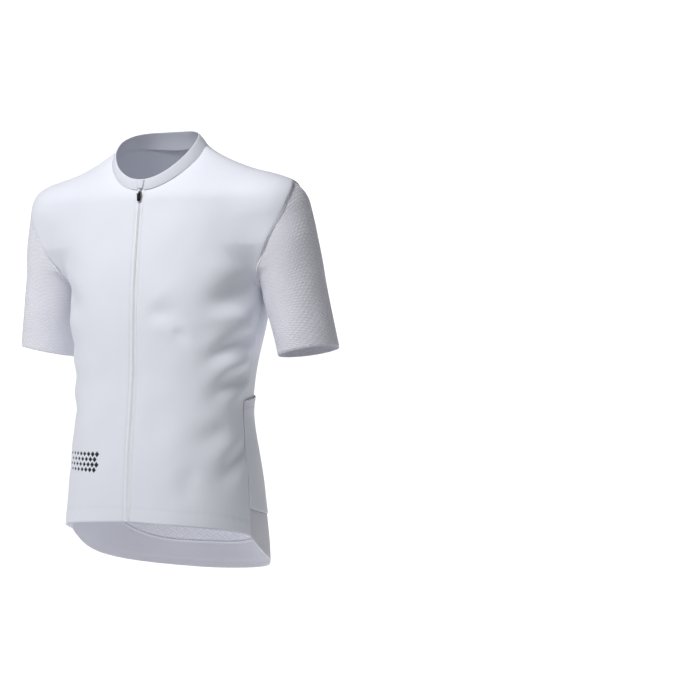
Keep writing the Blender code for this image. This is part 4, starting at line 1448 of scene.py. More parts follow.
# ================================================================ panels
@dataclass
class Panel:
    """A finished piece of cloth with the grid that it was made from, for what is sewn on it."""

    name: str
    grid: Grid
    thickness: float
    ring: bool = False
    piece: bpy.types.Object | None = None

    def make(self) -> bpy.types.Object:
        """Makes the shell."""
        self.piece = cloth_piece(self.name, self.grid, self.thickness, self.ring)
        return self.piece

    @property
    def normals(self) -> Grid:
        """Unit normals of the finished form."""
        return normals_of(self.grid, self.ring)

    @property
    def area(self) -> float:
        """The area of the finished form.

        Returns:
            Square metres.
        """
        wide = np.concatenate([self.grid, self.grid[:, :1]], 1) if self.ring else self.grid
        first = np.cross(wide[1:, 1:] - wide[:-1, :-1], wide[1:, :-1] - wide[:-1, 1:])
        return float(np.linalg.norm(first, axis=-1).sum() / 2)

    def line(self, edge: str, distance: float, first: int = 0, last: int | None = None,
             lift: float = 0.0) -> tuple[Grid, Grid]:
        """Points at one distance from an edge, with the normals there.

        Args:
            edge: start, end, bottom or top.
            distance: How far in from the edge.
            first: The first row or column that the line crosses.
            last: The one after the last; the whole edge if left out.
            lift: How far the line stands off the cloth's face.

        Returns:
            The points and the normals.
        """
        grid, normals = self.grid, self.normals
        away = to_edges(grid)[edge]
        if edge in ("bottom", "top"):
            grid, normals, away = grid.swapaxes(0, 1), normals.swapaxes(0, 1), away.T
        points, outs = [], []
        for row, out, gap in zip(grid[first:last], normals[first:last], away[first:last]):
            order = slice(None) if gap[0] < gap[-1] else slice(None, None, -1)
            points.append([np.interp(distance, gap[order], c) for c in row[order].T])
            outs.append([np.interp(distance, gap[order], c) for c in out[order].T])
        outs = np.array(outs)
        outs /= np.linalg.norm(outs, axis=1, keepdims=True)
        return np.array(points) + outs * (self.thickness / 2 + lift), outs

    def spot(self, x: float, z: float, near: int = 9) -> tuple[np.ndarray, np.ndarray]:
        """The point of the cloth's face at an X and a height, and the normal there.

        Args:
            x: The X.
            z: The height.
            near: How many points of the grid it is taken from.

        Returns:
            The point and the normal.
        """
        flat, outs = self.grid.reshape(-1, 3), self.normals.reshape(-1, 3)
        gap = (flat[:, 0] - x) ** 2 + (flat[:, 2] - z) ** 2
        found = np.argpartition(gap, near)[:near]
        known = np.stack([np.ones(near), flat[found, 0] - x, flat[found, 2] - z], axis=1)
        level = np.linalg.lstsq(known, flat[found, 1], rcond=None)[0]
        out = outs[found].mean(0)
        out /= np.linalg.norm(out)
        return np.array((x, level[0], z)) + out * self.thickness / 2, out


def sewn(panels: dict[str, Panel], key: str, panel: Panel, look: Look, slot: str) -> bpy.types.Object:
    """Makes and dresses a panel, and keeps it for what is sewn on it.

    Args:
        panels: Where it is kept.
        key: The name that it is kept under.
        panel: The panel.
        look: Its finish.
        slot: The record's material slot.

    Returns:
        The piece.
    """
    panels[key] = panel
    return dress(panel.make(), look, slot)


def drawn_back(grid: Grid, edge: str, room: np.ndarray | float, reach: float = DRAWN_REACH) -> Grid:
    """A grid whose points by one edge are moved in, most at the edge and ever less beyond it.

    Args:
        grid: The grid, which is not changed.
        edge: start, end, bottom or top.
        room: How far the edge itself moves, as one number or one for each point of it.
        reach: The distance over which the move fades.

    Returns:
        The moved grid.
    """
    away = to_edges(grid)[edge]
    lines = grid.swapaxes(0, 1) if edge in ("start", "end") else grid
    away = away.T if edge in ("start", "end") else away
    if edge in ("end", "top"):
        lines, away = lines[::-1], away[::-1]
    inner = lines[5]
    moved = pulled(lines[0], inner, room) - lines[0]
    result = lines + moved[None] * np.exp(-away / reach)[..., None]
    if edge in ("end", "top"):
        result = result[::-1]
    return result.swapaxes(0, 1) if edge in ("start", "end") else result


def fold_room(cut: Cut, normals: Grid, others: Grid) -> np.ndarray:
    """How far two shells must draw back from a seam where they meet at an angle.

    Args:
        cut: The cut.
        normals: Normals along one edge of the seam.
        others: Normals along the other.

    Returns:
        How far each point of the edges moves.
    """
    half = np.arccos(np.clip((normals * others).sum(-1), -1, 1)) / 2
    return cut.seam_gap + np.clip(cut.cloth * 0.65 * np.tan(np.minimum(half, 1.45)), 0, 0.0042)


def smooth_step(value: np.ndarray) -> np.ndarray:
    """An even rise from 0 to 1 as the value goes from 0 to 1."""
    value = np.clip(value, 0, 1)
    return value * value * (3 - 2 * value)


@dataclass
class Shell:
    """The fronts, the back and the sleeves."""

    cut: Cut
    drape: Drape
    columns_neck: int = 48
    columns_outer: int = 40
    rows_side: int = 116
    rows_armhole: int = 66
    rows_pocket: int = 40
    rows_back: int = 52
    rows_sleeve: int = 74
    half_panel: float = 0.235
    pucker: float = 0.00016
    pucker_pitch: float = 0.0131
    pucker_reach: float = 0.010
    hem_turn: float = 0.022
    panels: dict[str, Panel] = field(default_factory=dict)

    def _columns(self, face: Face) -> np.ndarray:
        """Shares across a half panel, with a column on each corner and close ones by the seams.

        Args:
            face: The face of the torso.

        Returns:
            The shares in rising order.
        """
        corner = self.cut.neck_share
        parts = [np.linspace(0, corner, self.columns_neck + 1)]
        parts += [np.linspace(corner, 1, self.columns_outer + 1)]
        close = SEWN_STEPS / self.half_panel
        parts += [1 - close] + ([close] if face is Face.FRONT else [])
        return np.unique(np.round(np.concatenate(parts), 7))

    def _front(self, u: np.ndarray, v: np.ndarray) -> Grid:
        """The smooth form of the left front.

        Args:
            u: Shares across the half panel.
            v: Shares up the armhole.

        Returns:
            The grid, from the hem up.
        """
        hem = self.cut.hem(u, Face.FRONT)
        armpit = np.full(len(u), self.cut.skin.armpit)
        lower = self.cut.sheet(hem, armpit, u, np.linspace(0, 1, self.rows_side + 1), Face.FRONT)
        upper = self.cut.upper_half(Face.FRONT, u, v)
        lower[-1] = upper[0]
        return np.concatenate([lower[:-1], upper])

    def _back(self, u: np.ndarray, v: np.ndarray) -> Grid:
        """The smooth form of the back's left half.

        Args:
            u: Shares across the half panel.
            v: Shares up the armhole.

        Returns:
            The grid, from the foot of the pockets up.
        """
        shares = self.cut.shares_of(u, Face.BACK)
        mouth, armpit = self.cut.mouth(shares), np.full(len(u), self.cut.skin.armpit)
        foot = self.cut.tail(shares)
        pocket = self.cut.sheet(foot, mouth, shares, stations(self.rows_pocket, 0.19, True, False), Face.BACK)
        lower = self.cut.sheet(mouth, armpit, shares, np.linspace(0, 1, self.rows_back + 1), Face.BACK)
        return np.concatenate([pocket[:-1], lower[:-1], self.cut.upper_half(Face.BACK, u, v)])

    def _sleeve(self, v: np.ndarray) -> Grid:
        """The smooth form of the left sleeve: rings from the cuff up to the armhole.

        Args:
            v: Shares up the armhole.

        Returns:
            The grid, a ring in each row.
        """
        front, back = self.cut.armhole(Face.FRONT, v), self.cut.armhole(Face.BACK, v)
        loop = np.vstack([front, back[-2:0:-1]])
        angle = np.concatenate([math.pi * v, 2 * math.pi - math.pi * v[-2:0:-1]])
        cuff = self.cut.cuff(angle)
        rise = stations(self.rows_sleeve, 0.2, False, True)[:, None, None]
        grid = cuff[None] * (1 - rise) + loop[None] * rise
        grid[:-1] = self.cut.skin.settle(grid[:-1], self.cut.skin.arms)
        grid[0] = cuff
        return grid

    def build(self) -> None:
        v = stations(self.rows_armhole, 0.19, False, True)
        u_front, u_back = self._columns(Face.FRONT), self._columns(Face.BACK)
        front, back, sleeve = self._front(u_front, v), self._back(u_back, v), self._sleeve(v)
        out = {"front": normals_of(front), "back": normals_of(back), "sleeve": normals_of(sleeve, True)}
        count = len(v) - 1
        loop = out["sleeve"][-1]
        front_room = fold_room(self.cut, out["front"][-count - 1:, -1], loop[:count + 1])
        back_loop = np.vstack([loop[:1], loop[:count - 1:-1]])
        back_room = fold_room(self.cut, out["back"][-count - 1:, -1], back_loop)
        loop_room = np.concatenate([front_room, back_room[-2:0:-1]])
        loop_room[0] = max(front_room[0], back_room[0])
        sleeve = self._ring_back(sleeve, loop_room)
        side = np.full(len(front) - count - 1, self.cut.seam_gap)
        front = drawn_back(front, "end", np.concatenate([side, front_room]))
        front = drawn_back(front, "top", self.cut.seam_gap, 0.002)
        side = np.full(len(back) - count - 1, self.cut.seam_gap)
        back = drawn_back(back, "end", np.concatenate([side, back_room]))
        back = drawn_back(back, "top", self.cut.seam_gap, 0.002)
        out["back"][:, 0, 0] = 0
        self._finish_fronts(front, out["front"], u_front)
        self._finish_back(across_middle(back), across_middle(out["back"]), u_back)
        self._finish_sleeves(sleeve, out["sleeve"])

    def _ring_back(self, grid: Grid, room: np.ndarray) -> Grid:
        """The sleeve with its armhole edge drawn back.

        Args:
            grid: The smooth grid of points.
            room: How far each point of the edge moves.

        Returns:
            The moved grid.
        """
        away = to_edges(grid)["top"]
        moved = pulled(grid[-1], grid[-6], room, ring=True) - grid[-1]
        return grid + moved[None] * np.exp(-away / DRAWN_REACH)[..., None]

    def _finish_fronts(self, grid: Grid, out: Grid, u: np.ndarray) -> None:
        """Folds, seams and hem of the two fronts.

        Args:
            grid: The smooth grid of points.
            out: Its unit normals.
            u: Shares across the half panel.
        """
        gaps = to_edges(grid)
        neck = (u <= self.cut.neck_share)[None, :]
        relief = sunk(gaps["end"], 0.00025) + sunk(gaps["start"], 0.0003, 0.0012)
        relief = relief + np.where(neck, sunk(gaps["top"], 0.0001), raised(gaps["top"], 0.0003))
        relief = relief + turned_up(gaps["bottom"], self.hem_turn)
        for side in Side:
            placed = side.place(grid)
            pucker = self._pucker(placed, gaps["bottom"], self.hem_turn)
            height = self.drape.height(placed) * smooth_step(gaps["start"] / 0.03) + relief + pucker
            final = placed + side.place(out) * height[..., None]
            panel = Panel(f"knit_front_{side.value}", final, self.cut.cloth)
            piece = sewn(self.panels, f"front_{side.value}", panel, Look.SMOOTH, "smooth_knit")
            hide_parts(f"front_{side.value}")
            LOG.info("front %s, %.4f square metres", side.value, panel.area)

    def _pucker(self, grid: Grid, gap: np.ndarray, height: float) -> np.ndarray:
        """Small uneven ripples along a sewn line at a height above an edge.

        Args:
            grid: Rows and columns of points.
            gap: Their distances from the edge.
            height: How far the sewn line is from it.

        Returns:
            The offset at each point.
        """
        way = grid[..., 0] * 1.0 + grid[..., 1] * 0.7
        swing = 0.6 + 0.4 * np.sin(way * 67 + 1)
        wave = np.sin(way * 2 * math.pi / self.pucker_pitch + 1.3 * np.sin(way * 41)) * swing
        return self.pucker * wave * np.exp(-(((gap - height) / self.pucker_reach) ** 2))

    def _finish_back(self, grid: Grid, out: Grid, u: np.ndarray) -> None:
        """Folds and seams of the back.

        Args:
            grid: The smooth grid of points.
            out: Its unit normals.
            u: Shares across the half panel.
        """
        gaps = to_edges(grid)
        wide_u = np.concatenate([u[:0:-1], u])
        neck = (wide_u <= self.cut.neck_share)[None, :]
        relief = sunk(gaps["start"], 0.00025) + sunk(gaps["end"], 0.00025) + sunk(gaps["bottom"])
        relief = relief + np.where(neck, sunk(gaps["top"], 0.0001), raised(gaps["top"], 0.0003))
        shares = self.cut.shares_of(wide_u, Face.BACK)
        above = smooth_step((grid[..., 2] - self.cut.mouth(shares)[None] + 0.004) / 0.007)
        final = grid + out * (self.drape.height(grid) * above + relief)[..., None]
        panel = Panel("knit_back", final, self.cut.cloth)
        piece = sewn(self.panels, "back", panel, Look.SMOOTH, "smooth_knit")
        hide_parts("back")
        LOG.info("back, %.4f square metres", panel.area)

    def _finish_sleeves(self, grid: Grid, out: Grid) -> None:
        """Folds and edges of the two sleeves.

        Args:
            grid: The smooth grid of points.
            out: Its unit normals.
        """
        gaps = to_edges(grid)
        relief = raised(gaps["top"]) + 0.00012 * np.exp(-(((gaps["bottom"] - 0.004) / 0.003) ** 2))
        for side in Side:
            placed = side.place(grid)
            final = placed + side.place(out) * (self.drape.height(placed) + relief)[..., None]
            panel = Panel(f"knit_sleeve_{side.value}", final, self.cut.cloth, ring=True)
            piece = sewn(self.panels, f"sleeve_{side.value}", panel, Look.TEXTURED, "textured_knit")
            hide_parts(f"sleeve_{side.value}")
            LOG.info("sleeve %s, %.4f square metres", side.value, panel.area)


@dataclass
class Collar:
    """The stand collar, folded double at its top edge."""

    cut: Cut
    wall: float = 0.0019
    tall: float = 0.0245
    belly: float = 0.0005
    wave: float = 0.00022
    start: float = -0.012
    columns: int = 150
    rows: int = 12

    def build(self) -> None:
        """Sweeps the folded edge's profile round the neck."""
        turns = np.linspace(self.cut.zip_turn, 360 - self.cut.zip_turn, self.columns + 1)
        half = self.wall / 2
        last = 1.0 - half / self.tall
        flat = np.linspace(self.start, last, self.rows)
        bend = np.linspace(0, math.pi, 9)[1:-1]
        profile = [(up, half) for up in flat]
        profile += [(last + math.sin(a) * half / self.tall, math.cos(a) * half) for a in bend]
        profile += [(up, -half) for up in flat[::-1]]
        profile.append(profile[0])
        middle = np.stack([self.cut.neck_point(turns, up) for up in np.linspace(self.start, 1, 24)])
        out = normals_of(middle)[12]
        wave = self.wave * np.sin(np.radians(turns) * 9 + 0.5) * np.sin(np.radians(turns) * 4)
        grid = []
        for up, lift in profile:
            ring = self.cut.neck_point(turns, up)
            ring[0, 0] = self.cut.zip_opening
            ring[-1, 0] = -self.cut.zip_opening
            belly = self.belly * math.sin(math.pi * min(max(up, 0), 1))
            grid.append(ring + out * (lift + belly + wave)[:, None])
        bm = lay_grid(np.array(grid))
        bmesh.ops.remove_doubles(bm, verts=bm.verts, dist=1e-7)
        bmesh.ops.holes_fill(bm, edges=[e for e in bm.edges if e.is_boundary], sides=0)
        piece = dress(finish_mesh("knit_collar", bm), Look.SMOOTH, "smooth_knit")
        piece.data.set_sharp_from_angle(angle=math.radians(60))
        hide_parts("collar")
        LOG.info("collar, %d columns", self.columns)


@dataclass
class Tail:
    """What lies under the pockets: the textured crescent, the hem band and the reflective strip."""

    cut: Cut
    drape: Drape
    strip_height: float = 0.0072
    strip_wall: float = 0.0005
    panels: dict[str, Panel] = field(default_factory=dict)

    def build(self) -> None:
        """Makes the three pieces."""
        self._crescent()
        self._hem()
        self._strip()

    def _crescent(self) -> None:
        """The textured panel."""
        end = self.cut.share_at(self.cut.crescent_end, self.cut.tail_middle)
        shares = end * 0.992 * (1 - (1 - stations(70, 0.15, False, True)) ** 1.25)
        half = self.cut.sheet(self.cut.crescent(shares, end), self.cut.tail(shares), shares,
                              stations(20, 0.05), Face.BACK)
        half[-1, :, 2] -= self.cut.seam_gap
        grid = across_middle(half)
        gaps = to_edges(grid)
        relief = sunk(gaps["top"]) + raised(gaps["bottom"], 0.0004)
        final = grid + normals_of(grid) * (self.drape.height(grid) + relief)[..., None]
        panel = Panel("knit_tail_panel", final, self.cut.cloth)
        piece = sewn(self.panels, "tail_panel", panel, Look.TEXTURED, "textured_knit")
        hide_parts("tail_panel")

    def _hem(self) -> None:
        """The rear hem band."""
        end = self.cut.share_at(self.cut.crescent_end, self.cut.tail_middle)
        inner = end * (1 - (1 - np.linspace(0, 1, 71)) ** 1.25)
        outer = end + (1 - end) * stations(16, 0.05, False, True)[1:]
        shares = np.concatenate([inner, outer])
        low, high = self.cut.hem(shares, Face.BACK), self.cut.crescent(shares, end) - self.cut.seam_gap
        half = self.cut.sheet(low, high, shares, stations(24, 0.045, False, True), Face.BACK)
        half = drawn_back(half, "end", self.cut.seam_gap, 0.002)
        grid = across_middle(half)
        gaps = to_edges(grid)
        relief = sunk(gaps["top"], 0.0007, 0.0020) + sunk(gaps["start"]) + sunk(gaps["end"])
        relief = relief + 0.0003 * (1 - smooth_step((gaps["bottom"] - 0.010) / 0.004))
        final = grid + normals_of(grid) * (self.drape.height(grid) + relief)[..., None]
        panel = Panel("knit_hem_band", final, self.cut.cloth)
        piece = sewn(self.panels, "hem_band", panel, Look.HEM, "hem_knit")
        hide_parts("hem_band")

    def _strip(self) -> None:
        """The reflective strip on the crescent."""
        reach = self.cut.share_at(self.cut.pocket_divider, self.cut.tail_middle)
        shares = reach * np.linspace(0, 1, 41)
        top = self.cut.tail(shares) - 0.0012
        half = self.cut.sheet(top - self.strip_height, top, shares, np.linspace(0, 1, 7), Face.BACK)
        grid = across_middle(half)
        lift = self.cut.cloth / 2 + 0.0003 + self.strip_wall / 2
        final = grid + normals_of(grid) * (self.drape.height(grid) + lift)[..., None]
        panel = Panel("reflective_film", final, self.strip_wall)
        piece = sewn(self.panels, "strip", panel, Look.REFLECTIVE, "reflective")
        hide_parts("reflective_strip")


@dataclass
class RearPockets:
    """Three open pockets on the back, with gathered elastic bands at their mouths."""

    cut: Cut
    drape: Drape
    slack: float = 0.0062
    base: float = 0.0013
    gather: float = 0.0011
    gather_pitch: float = 0.0112
    gather_drop: float = 0.045
    gather_reach: float = 0.030
    panels: dict[str, Panel] = field(default_factory=dict)

    def build(self) -> None:
        """Makes each pocket and its band."""
        divider = self.cut.divider_share
        centre = divider * stations(24, 0.056, False, True)
        outer = divider + (1 - divider) * stations(58, 0.165)
        self._pocket("centre", *self._forms(centre, whole=True))
        low, high = self._forms(outer, whole=False)
        self._pocket("left", low, high)
        self._pocket("right", low[:, ::-1] * MIRROR, high[:, ::-1] * MIRROR)

    def _forms(self, shares: np.ndarray, whole: bool) -> tuple[Grid, Grid]:
        """The smooth forms of a pocket and of its band, before they are lifted off the back.

        Args:
            shares: Shares of the arc from the middle to the side seam.
            whole: Whether the pocket spans the middle line.

        Returns:
            The grids of the pocket and the band.
        """
        mouth = self.cut.mouth(shares)
        seam = mouth - self.cut.pocket_band
        low = self.cut.sheet(self.cut.tail(shares), seam, shares, stations(64, 0.18), Face.BACK)
        high = self.cut.sheet(seam, mouth, shares, stations(8, 0.011), Face.BACK)
        if whole:
            return across_middle(low), across_middle(high)
        return low, high

    def _lift(self, grid: Grid, foot: np.ndarray, mouth: np.ndarray) -> np.ndarray:
        """How far an empty pocket stands off the back.

        Args:
            grid: The smooth grid of points.
            foot: Height of the pocket's foot at each column.
            mouth: Height of its mouth at each column.

        Returns:
            The distance at each point.
        """
        along_mouth = travelled(grid[-1])
        across = np.clip(along_mouth / along_mouth[-1], 0, 1)
        lean = 0.0 if abs(grid[-1, 0, 0] + grid[-1, -1, 0]) < 0.01 else 1.0
        if lean and abs(grid[-1, 0, 0]) > abs(grid[-1, -1, 0]):
            across = 1 - across
        across = across ** (1 - 0.35 * lean)
        up = np.clip((grid[..., 2] - foot) / (mouth - foot), 0, 1)
        swell = np.abs(np.sin(math.pi * across)) ** 1.2 * (1 - 0.5 * lean * across) * up**1.6
        edge = lean * np.exp(-(((1 - across) / 0.05) ** 2))
        return self.base + self.slack * (1 - 0.45 * lean) * swell - 0.0002 * edge

    def _pocket(self, name: str, low: Grid, high: Grid) -> None:
        """One pocket and its band.

        Args:
            name: Which pocket.
            low: The grid of the pocket.
            high: The grid of the band.
        """
        foot, mouth = low[0, :, 2], high[-1, :, 2]
        for form, kind in ((low, "pocket"), (high, "band")):
            normals = normals_of(form)
            form = drawn_back(form, "start", 0.00015, 0.002)
            form = drawn_back(form, "end", 0.00015, 0.002)
            gaps = to_edges(form)
            lift = self._lift(form, foot, mouth)
            edge = np.minimum(gaps["start"], gaps["end"])
            lift = lift - 0.00025 * np.exp(-((edge / 0.004) ** 2))
            lift = lift + self.drape.height(form) + self._gather(form, mouth, edge)
            if kind == "pocket":
                form = drawn_back(form, "top", 0.0001, 0.001)
                lift = lift + sunk(gaps["top"], 0.0003, 0.0012) + sunk(gaps["bottom"], 0.0002, 0.0012)
            else:
                lift = lift + 0.00030 - 0.0003 * np.exp(-((gaps["bottom"] / 0.0012) ** 2))
            final = form + normals * np.maximum(lift, self.base - 0.0003)[..., None]
            panel = Panel(f"knit_{kind}_{name}", final, self.cut.cloth)
            look = Look.SMOOTH if kind == "pocket" else Look.RIB
            piece = sewn(self.panels, f"{kind}_{name}", panel, look, "smooth_knit")
            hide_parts(f"pocket_{name}" if kind == "pocket" else f"pocket_band_{name}")
            LOG.info("%s %s, %.4f square metres", kind, name, panel.area)

    def _gather(self, form: Grid, mouth: np.ndarray, edge: np.ndarray) -> np.ndarray:
        """Small upright gathers under the elastic, strongest near the dividers.

        Args:
            form: The grid.
            mouth: Height of the mouth at each column.
            edge: How far each point lies from the nearer side.

        Returns:
            The offset at each point.
        """
        way = travelled(form[-1])
        drop = np.clip((mouth - form[..., 2]) / self.gather_drop, 0, 1)
        wave = np.sin(way * 2 * math.pi / self.gather_pitch + 1.7 * np.sin(way * 57))
        wave = 0.5 + 0.5 * wave * (0.55 + 0.45 * np.sin(way * 83 + 2))
        near = np.exp(-((edge - 0.006) / self.gather_reach) ** 2) * smooth_step(edge / 0.004)
        fall, strength = 1 - smooth_step(drop), 0.35 + 0.65 * near
        return self.gather * wave[None] * fall * strength * smooth_step(edge / 0.006)


@dataclass
class Zip:
    """The full-length zip: tapes, teeth, stop, garage, slider and the hinged pull tab."""

    cut: Cut
    frame: dict
    tape_inner: float = 0.0016
    tape_wall: float = 0.0008
    tooth_pitch: float = 0.00125
    tooth_length: float = 0.0021
    tooth_radius: float = 0.00056
    tooth_offset: float = 0.00075
    tooth_lift: float = 0.00042
    teeth_start: float = 0.004
    garage_low: float = 0.16
    garage_foot: float = 0.0030
    garage_top: float = 0.0070
    garage_wall: float = 0.0008
    garage_lift: float = 0.0023
    bevel: float = 0.00032

    def build(self) -> None:
        """Makes every piece of the zip."""
        way = self.cut.zip_way(120)
        out = outwards_of(way)
        for side in Side:
            self._tape(side, way, out)
        self._teeth(way, out)
        self._garage()
        self._metal("zip_slider_body", "zip_slider", Look.BLACK, "black_metal", "jersey")
        self._metal("zip_pull_tab", "zip_pull", Look.BLACK, "black_metal", "tab")
        self._metal("zip_end_stop", "zip_stop", Look.TEETH, "zip_white", "jersey")

    def _tape(self, side: Side, way: Grid, out: Grid) -> None:
        """One woven tape, with a raised cord along its inner edge.

        Args:
            side: Which tape.
            way: The zip's way.
            out: The normals along it.
        """
        places = np.linspace(self.tape_inner, self.cut.zip_opening - self.cut.seam_gap, 8)
        lift = 0.0001 + 0.00035 * np.exp(-(((places - self.tape_inner) / 0.0009) ** 2))
        grid = np.repeat(way[:, None], len(places), axis=1)
        grid[..., 0] = places
        grid = grid + out[:, None] * lift[None, :, None]
        panel = Panel(f"zip_tape_{side.value}_woven", side.place(grid), self.tape_wall)
        piece = dress(panel.make(), Look.TAPE, "zip_white")
        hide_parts(f"zip_tape_{side.value}")

    def _teeth(self, way: Grid, out: Grid) -> None:
        """Two rows of small teeth that lie between each other.

        Args:
            way: The zip's way.
            out: The normals along it.
        """
        low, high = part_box("zip_slider")
        path_way = travelled(way)
        middle = (low.z + high.z) / 2
        last = float(np.interp(middle, way[:, 2], path_way))
        bm = bmesh.new()
        count = int((last - self.teeth_start) / self.tooth_pitch)
        for number in range(count * 2):
            place = self.teeth_start + number * self.tooth_pitch / 2
            spot, ahead = (
                Vector([float(np.interp(place + step, path_way, c)) for c in way.T]) for step in (0.0, 0.001))
            face = Vector([float(np.interp(place, path_way, c)) for c in out.T]).normalized()
            run = (ahead - spot).normalized()
            side = 1 if number % 2 else -1
            frame = Matrix((Vector((1, 0, 0)), run, face)).transposed().to_4x4()
            turn = Matrix.Rotation(math.radians(90), 4, "Y")
            shift = Vector((side * self.tooth_offset, 0, 0)) + face * self.tooth_lift
            size = Matrix.Diagonal((self.tooth_length, 0.86, 1.05, 1.0))
            where = Matrix.Translation(spot + shift) @ frame @ size @ turn
            bmesh.ops.create_cone(bm, cap_ends=True, segments=6, radius1=self.tooth_radius,
                                  radius2=self.tooth_radius, depth=1.0, matrix=where)
        piece = dress(finish_mesh("zip_teeth_rows", bm), Look.TEETH, "zip_white")
        piece.data.set_sharp_from_angle(angle=math.radians(40))
        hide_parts("zip_chain")
        LOG.info("zip, %d teeth", count * 2)

    def _garage(self) -> None:
        """The flap that the slider parks against."""
        ups = np.linspace(self.garage_low, 0.985, 15)
        path = np.stack([self.cut.neck_point(0, up) for up in ups])
        path[:, 0] = 0
        out = outwards_of(path)
        share = (ups - ups[0]) / (ups[-1] - ups[0])
        half = self.garage_foot + (self.garage_top - self.garage_foot) * share**0.9
        across = np.linspace(-1, 1, 15)
        grid = np.repeat(path[:, None], len(across), axis=1)
        grid[..., 0] = half[:, None] * across[None]
        lift = self.garage_lift - 0.0007 * np.abs(across[None]) ** 2.5
        final = grid + out[:, None] * lift[..., None]
        panel = Panel("knit_zip_garage", final, self.garage_wall)
        piece = dress(panel.make(), Look.SMOOTH, "smooth_knit")
        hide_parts("zip_garage")

    def _metal(self, name: str, node: str, look: Look, slot: str, body: str) -> None:
        """A hard piece on its solid's form, with its edges rounded.

        Args:
            name: The piece's name.
            node: The solid that it replaces.
            look: Its finish.
            slot: The record's material slot.
            body: The body that it rides on.
        """
        bm = bmesh.new()
        bm.from_mesh(self.frame["nodes"][node].data)
        bmesh.ops.remove_doubles(bm, verts=bm.verts, dist=1e-6)
        bmesh.ops.dissolve_limit(bm, angle_limit=math.radians(3), verts=bm.verts, edges=bm.edges)
        sharp = [e for e in bm.edges if len(e.link_faces) == 2 and e.calc_face_angle(0) > math.radians(25)]
        bmesh.ops.bevel(bm, geom=sharp, offset=self.bevel, offset_type="OFFSET", segments=3, profile=0.5,
                        affect="EDGES", clamp_overlap=True, material=-1)
        piece = dress(finish_mesh(name, bm), look, slot, body)
        piece.data.set_sharp_from_angle(angle=math.radians(50))
        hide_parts(node)
        LOG.info("%s on body %s", name, body)


@dataclass
class Stitching:
    """The rows of stitches that show on the outside."""

    shell: Shell
    pockets: RearPockets
    tail: Tail
    beside_seam: float = 0.0016
    beside_mouth: float = 0.0014
    beside_neck: float = 0.0020
    beside_zip: float = 0.0022
    front_hem: tuple[float, float] = (0.0205, 0.0232)
    rear_hem: tuple[float, float] = (0.0110, 0.0022)

    def build(self) -> None:
        """Makes the rows, one piece for each seam."""
        neck_columns = self.shell.columns_neck
        for side in Side:
            front = self.shell.panels[f"front_{side.value}"]
            self._row(f"stitch_front_hem_{side.value}", [front.line("bottom", gap) for gap in self.front_hem])
            self._row(f"stitch_zip_edge_{side.value}", [front.line("start", self.beside_zip)])
            self._row(f"stitch_neck_{side.value}", [front.line("top", self.beside_neck, 2, neck_columns)])
            band = self.pockets.panels[f"band_{side.value}"]
            self._row(f"stitch_pocket_band_{side.value}", self._band_rows(band))
            pocket = self.pockets.panels[f"pocket_{side.value}"]
            divider = "start" if side is Side.LEFT else "end"
            self._row(f"stitch_divider_{side.value}", [pocket.line(divider, self.beside_seam)])
            self._row(f"stitch_pocket_foot_{side.value}", [pocket.line("bottom", self.beside_seam)])
        centre = self.pockets.panels["pocket_centre"]
        sides = [centre.line(edge, self.beside_seam) for edge in ("start", "end")]
        self._row("stitch_dividers_centre", sides)
        self._row("stitch_pocket_foot_centre", [centre.line("bottom", self.beside_seam)])
        self._row("stitch_pocket_band_centre", self._band_rows(self.pockets.panels["band_centre"]))
        hem = self.tail.panels["hem_band"]
        low, high = self.rear_hem
        self._row("stitch_hem_band", [hem.line("top", high), hem.line("bottom", low)])

    def _band_rows(self, band: Panel) -> list[tuple[Grid, Grid]]:
        """The two rows of stitches on a pocket's band."""
        return [band.line("bottom", self.beside_seam), band.line("top", self.beside_mouth)]

    @staticmethod
    def _row(name: str, rows: Sequence[tuple[Grid, Grid]]) -> None:
        """One piece of stitches."""
        dress(stitched(name, rows), Look.THREAD, "smooth_knit")


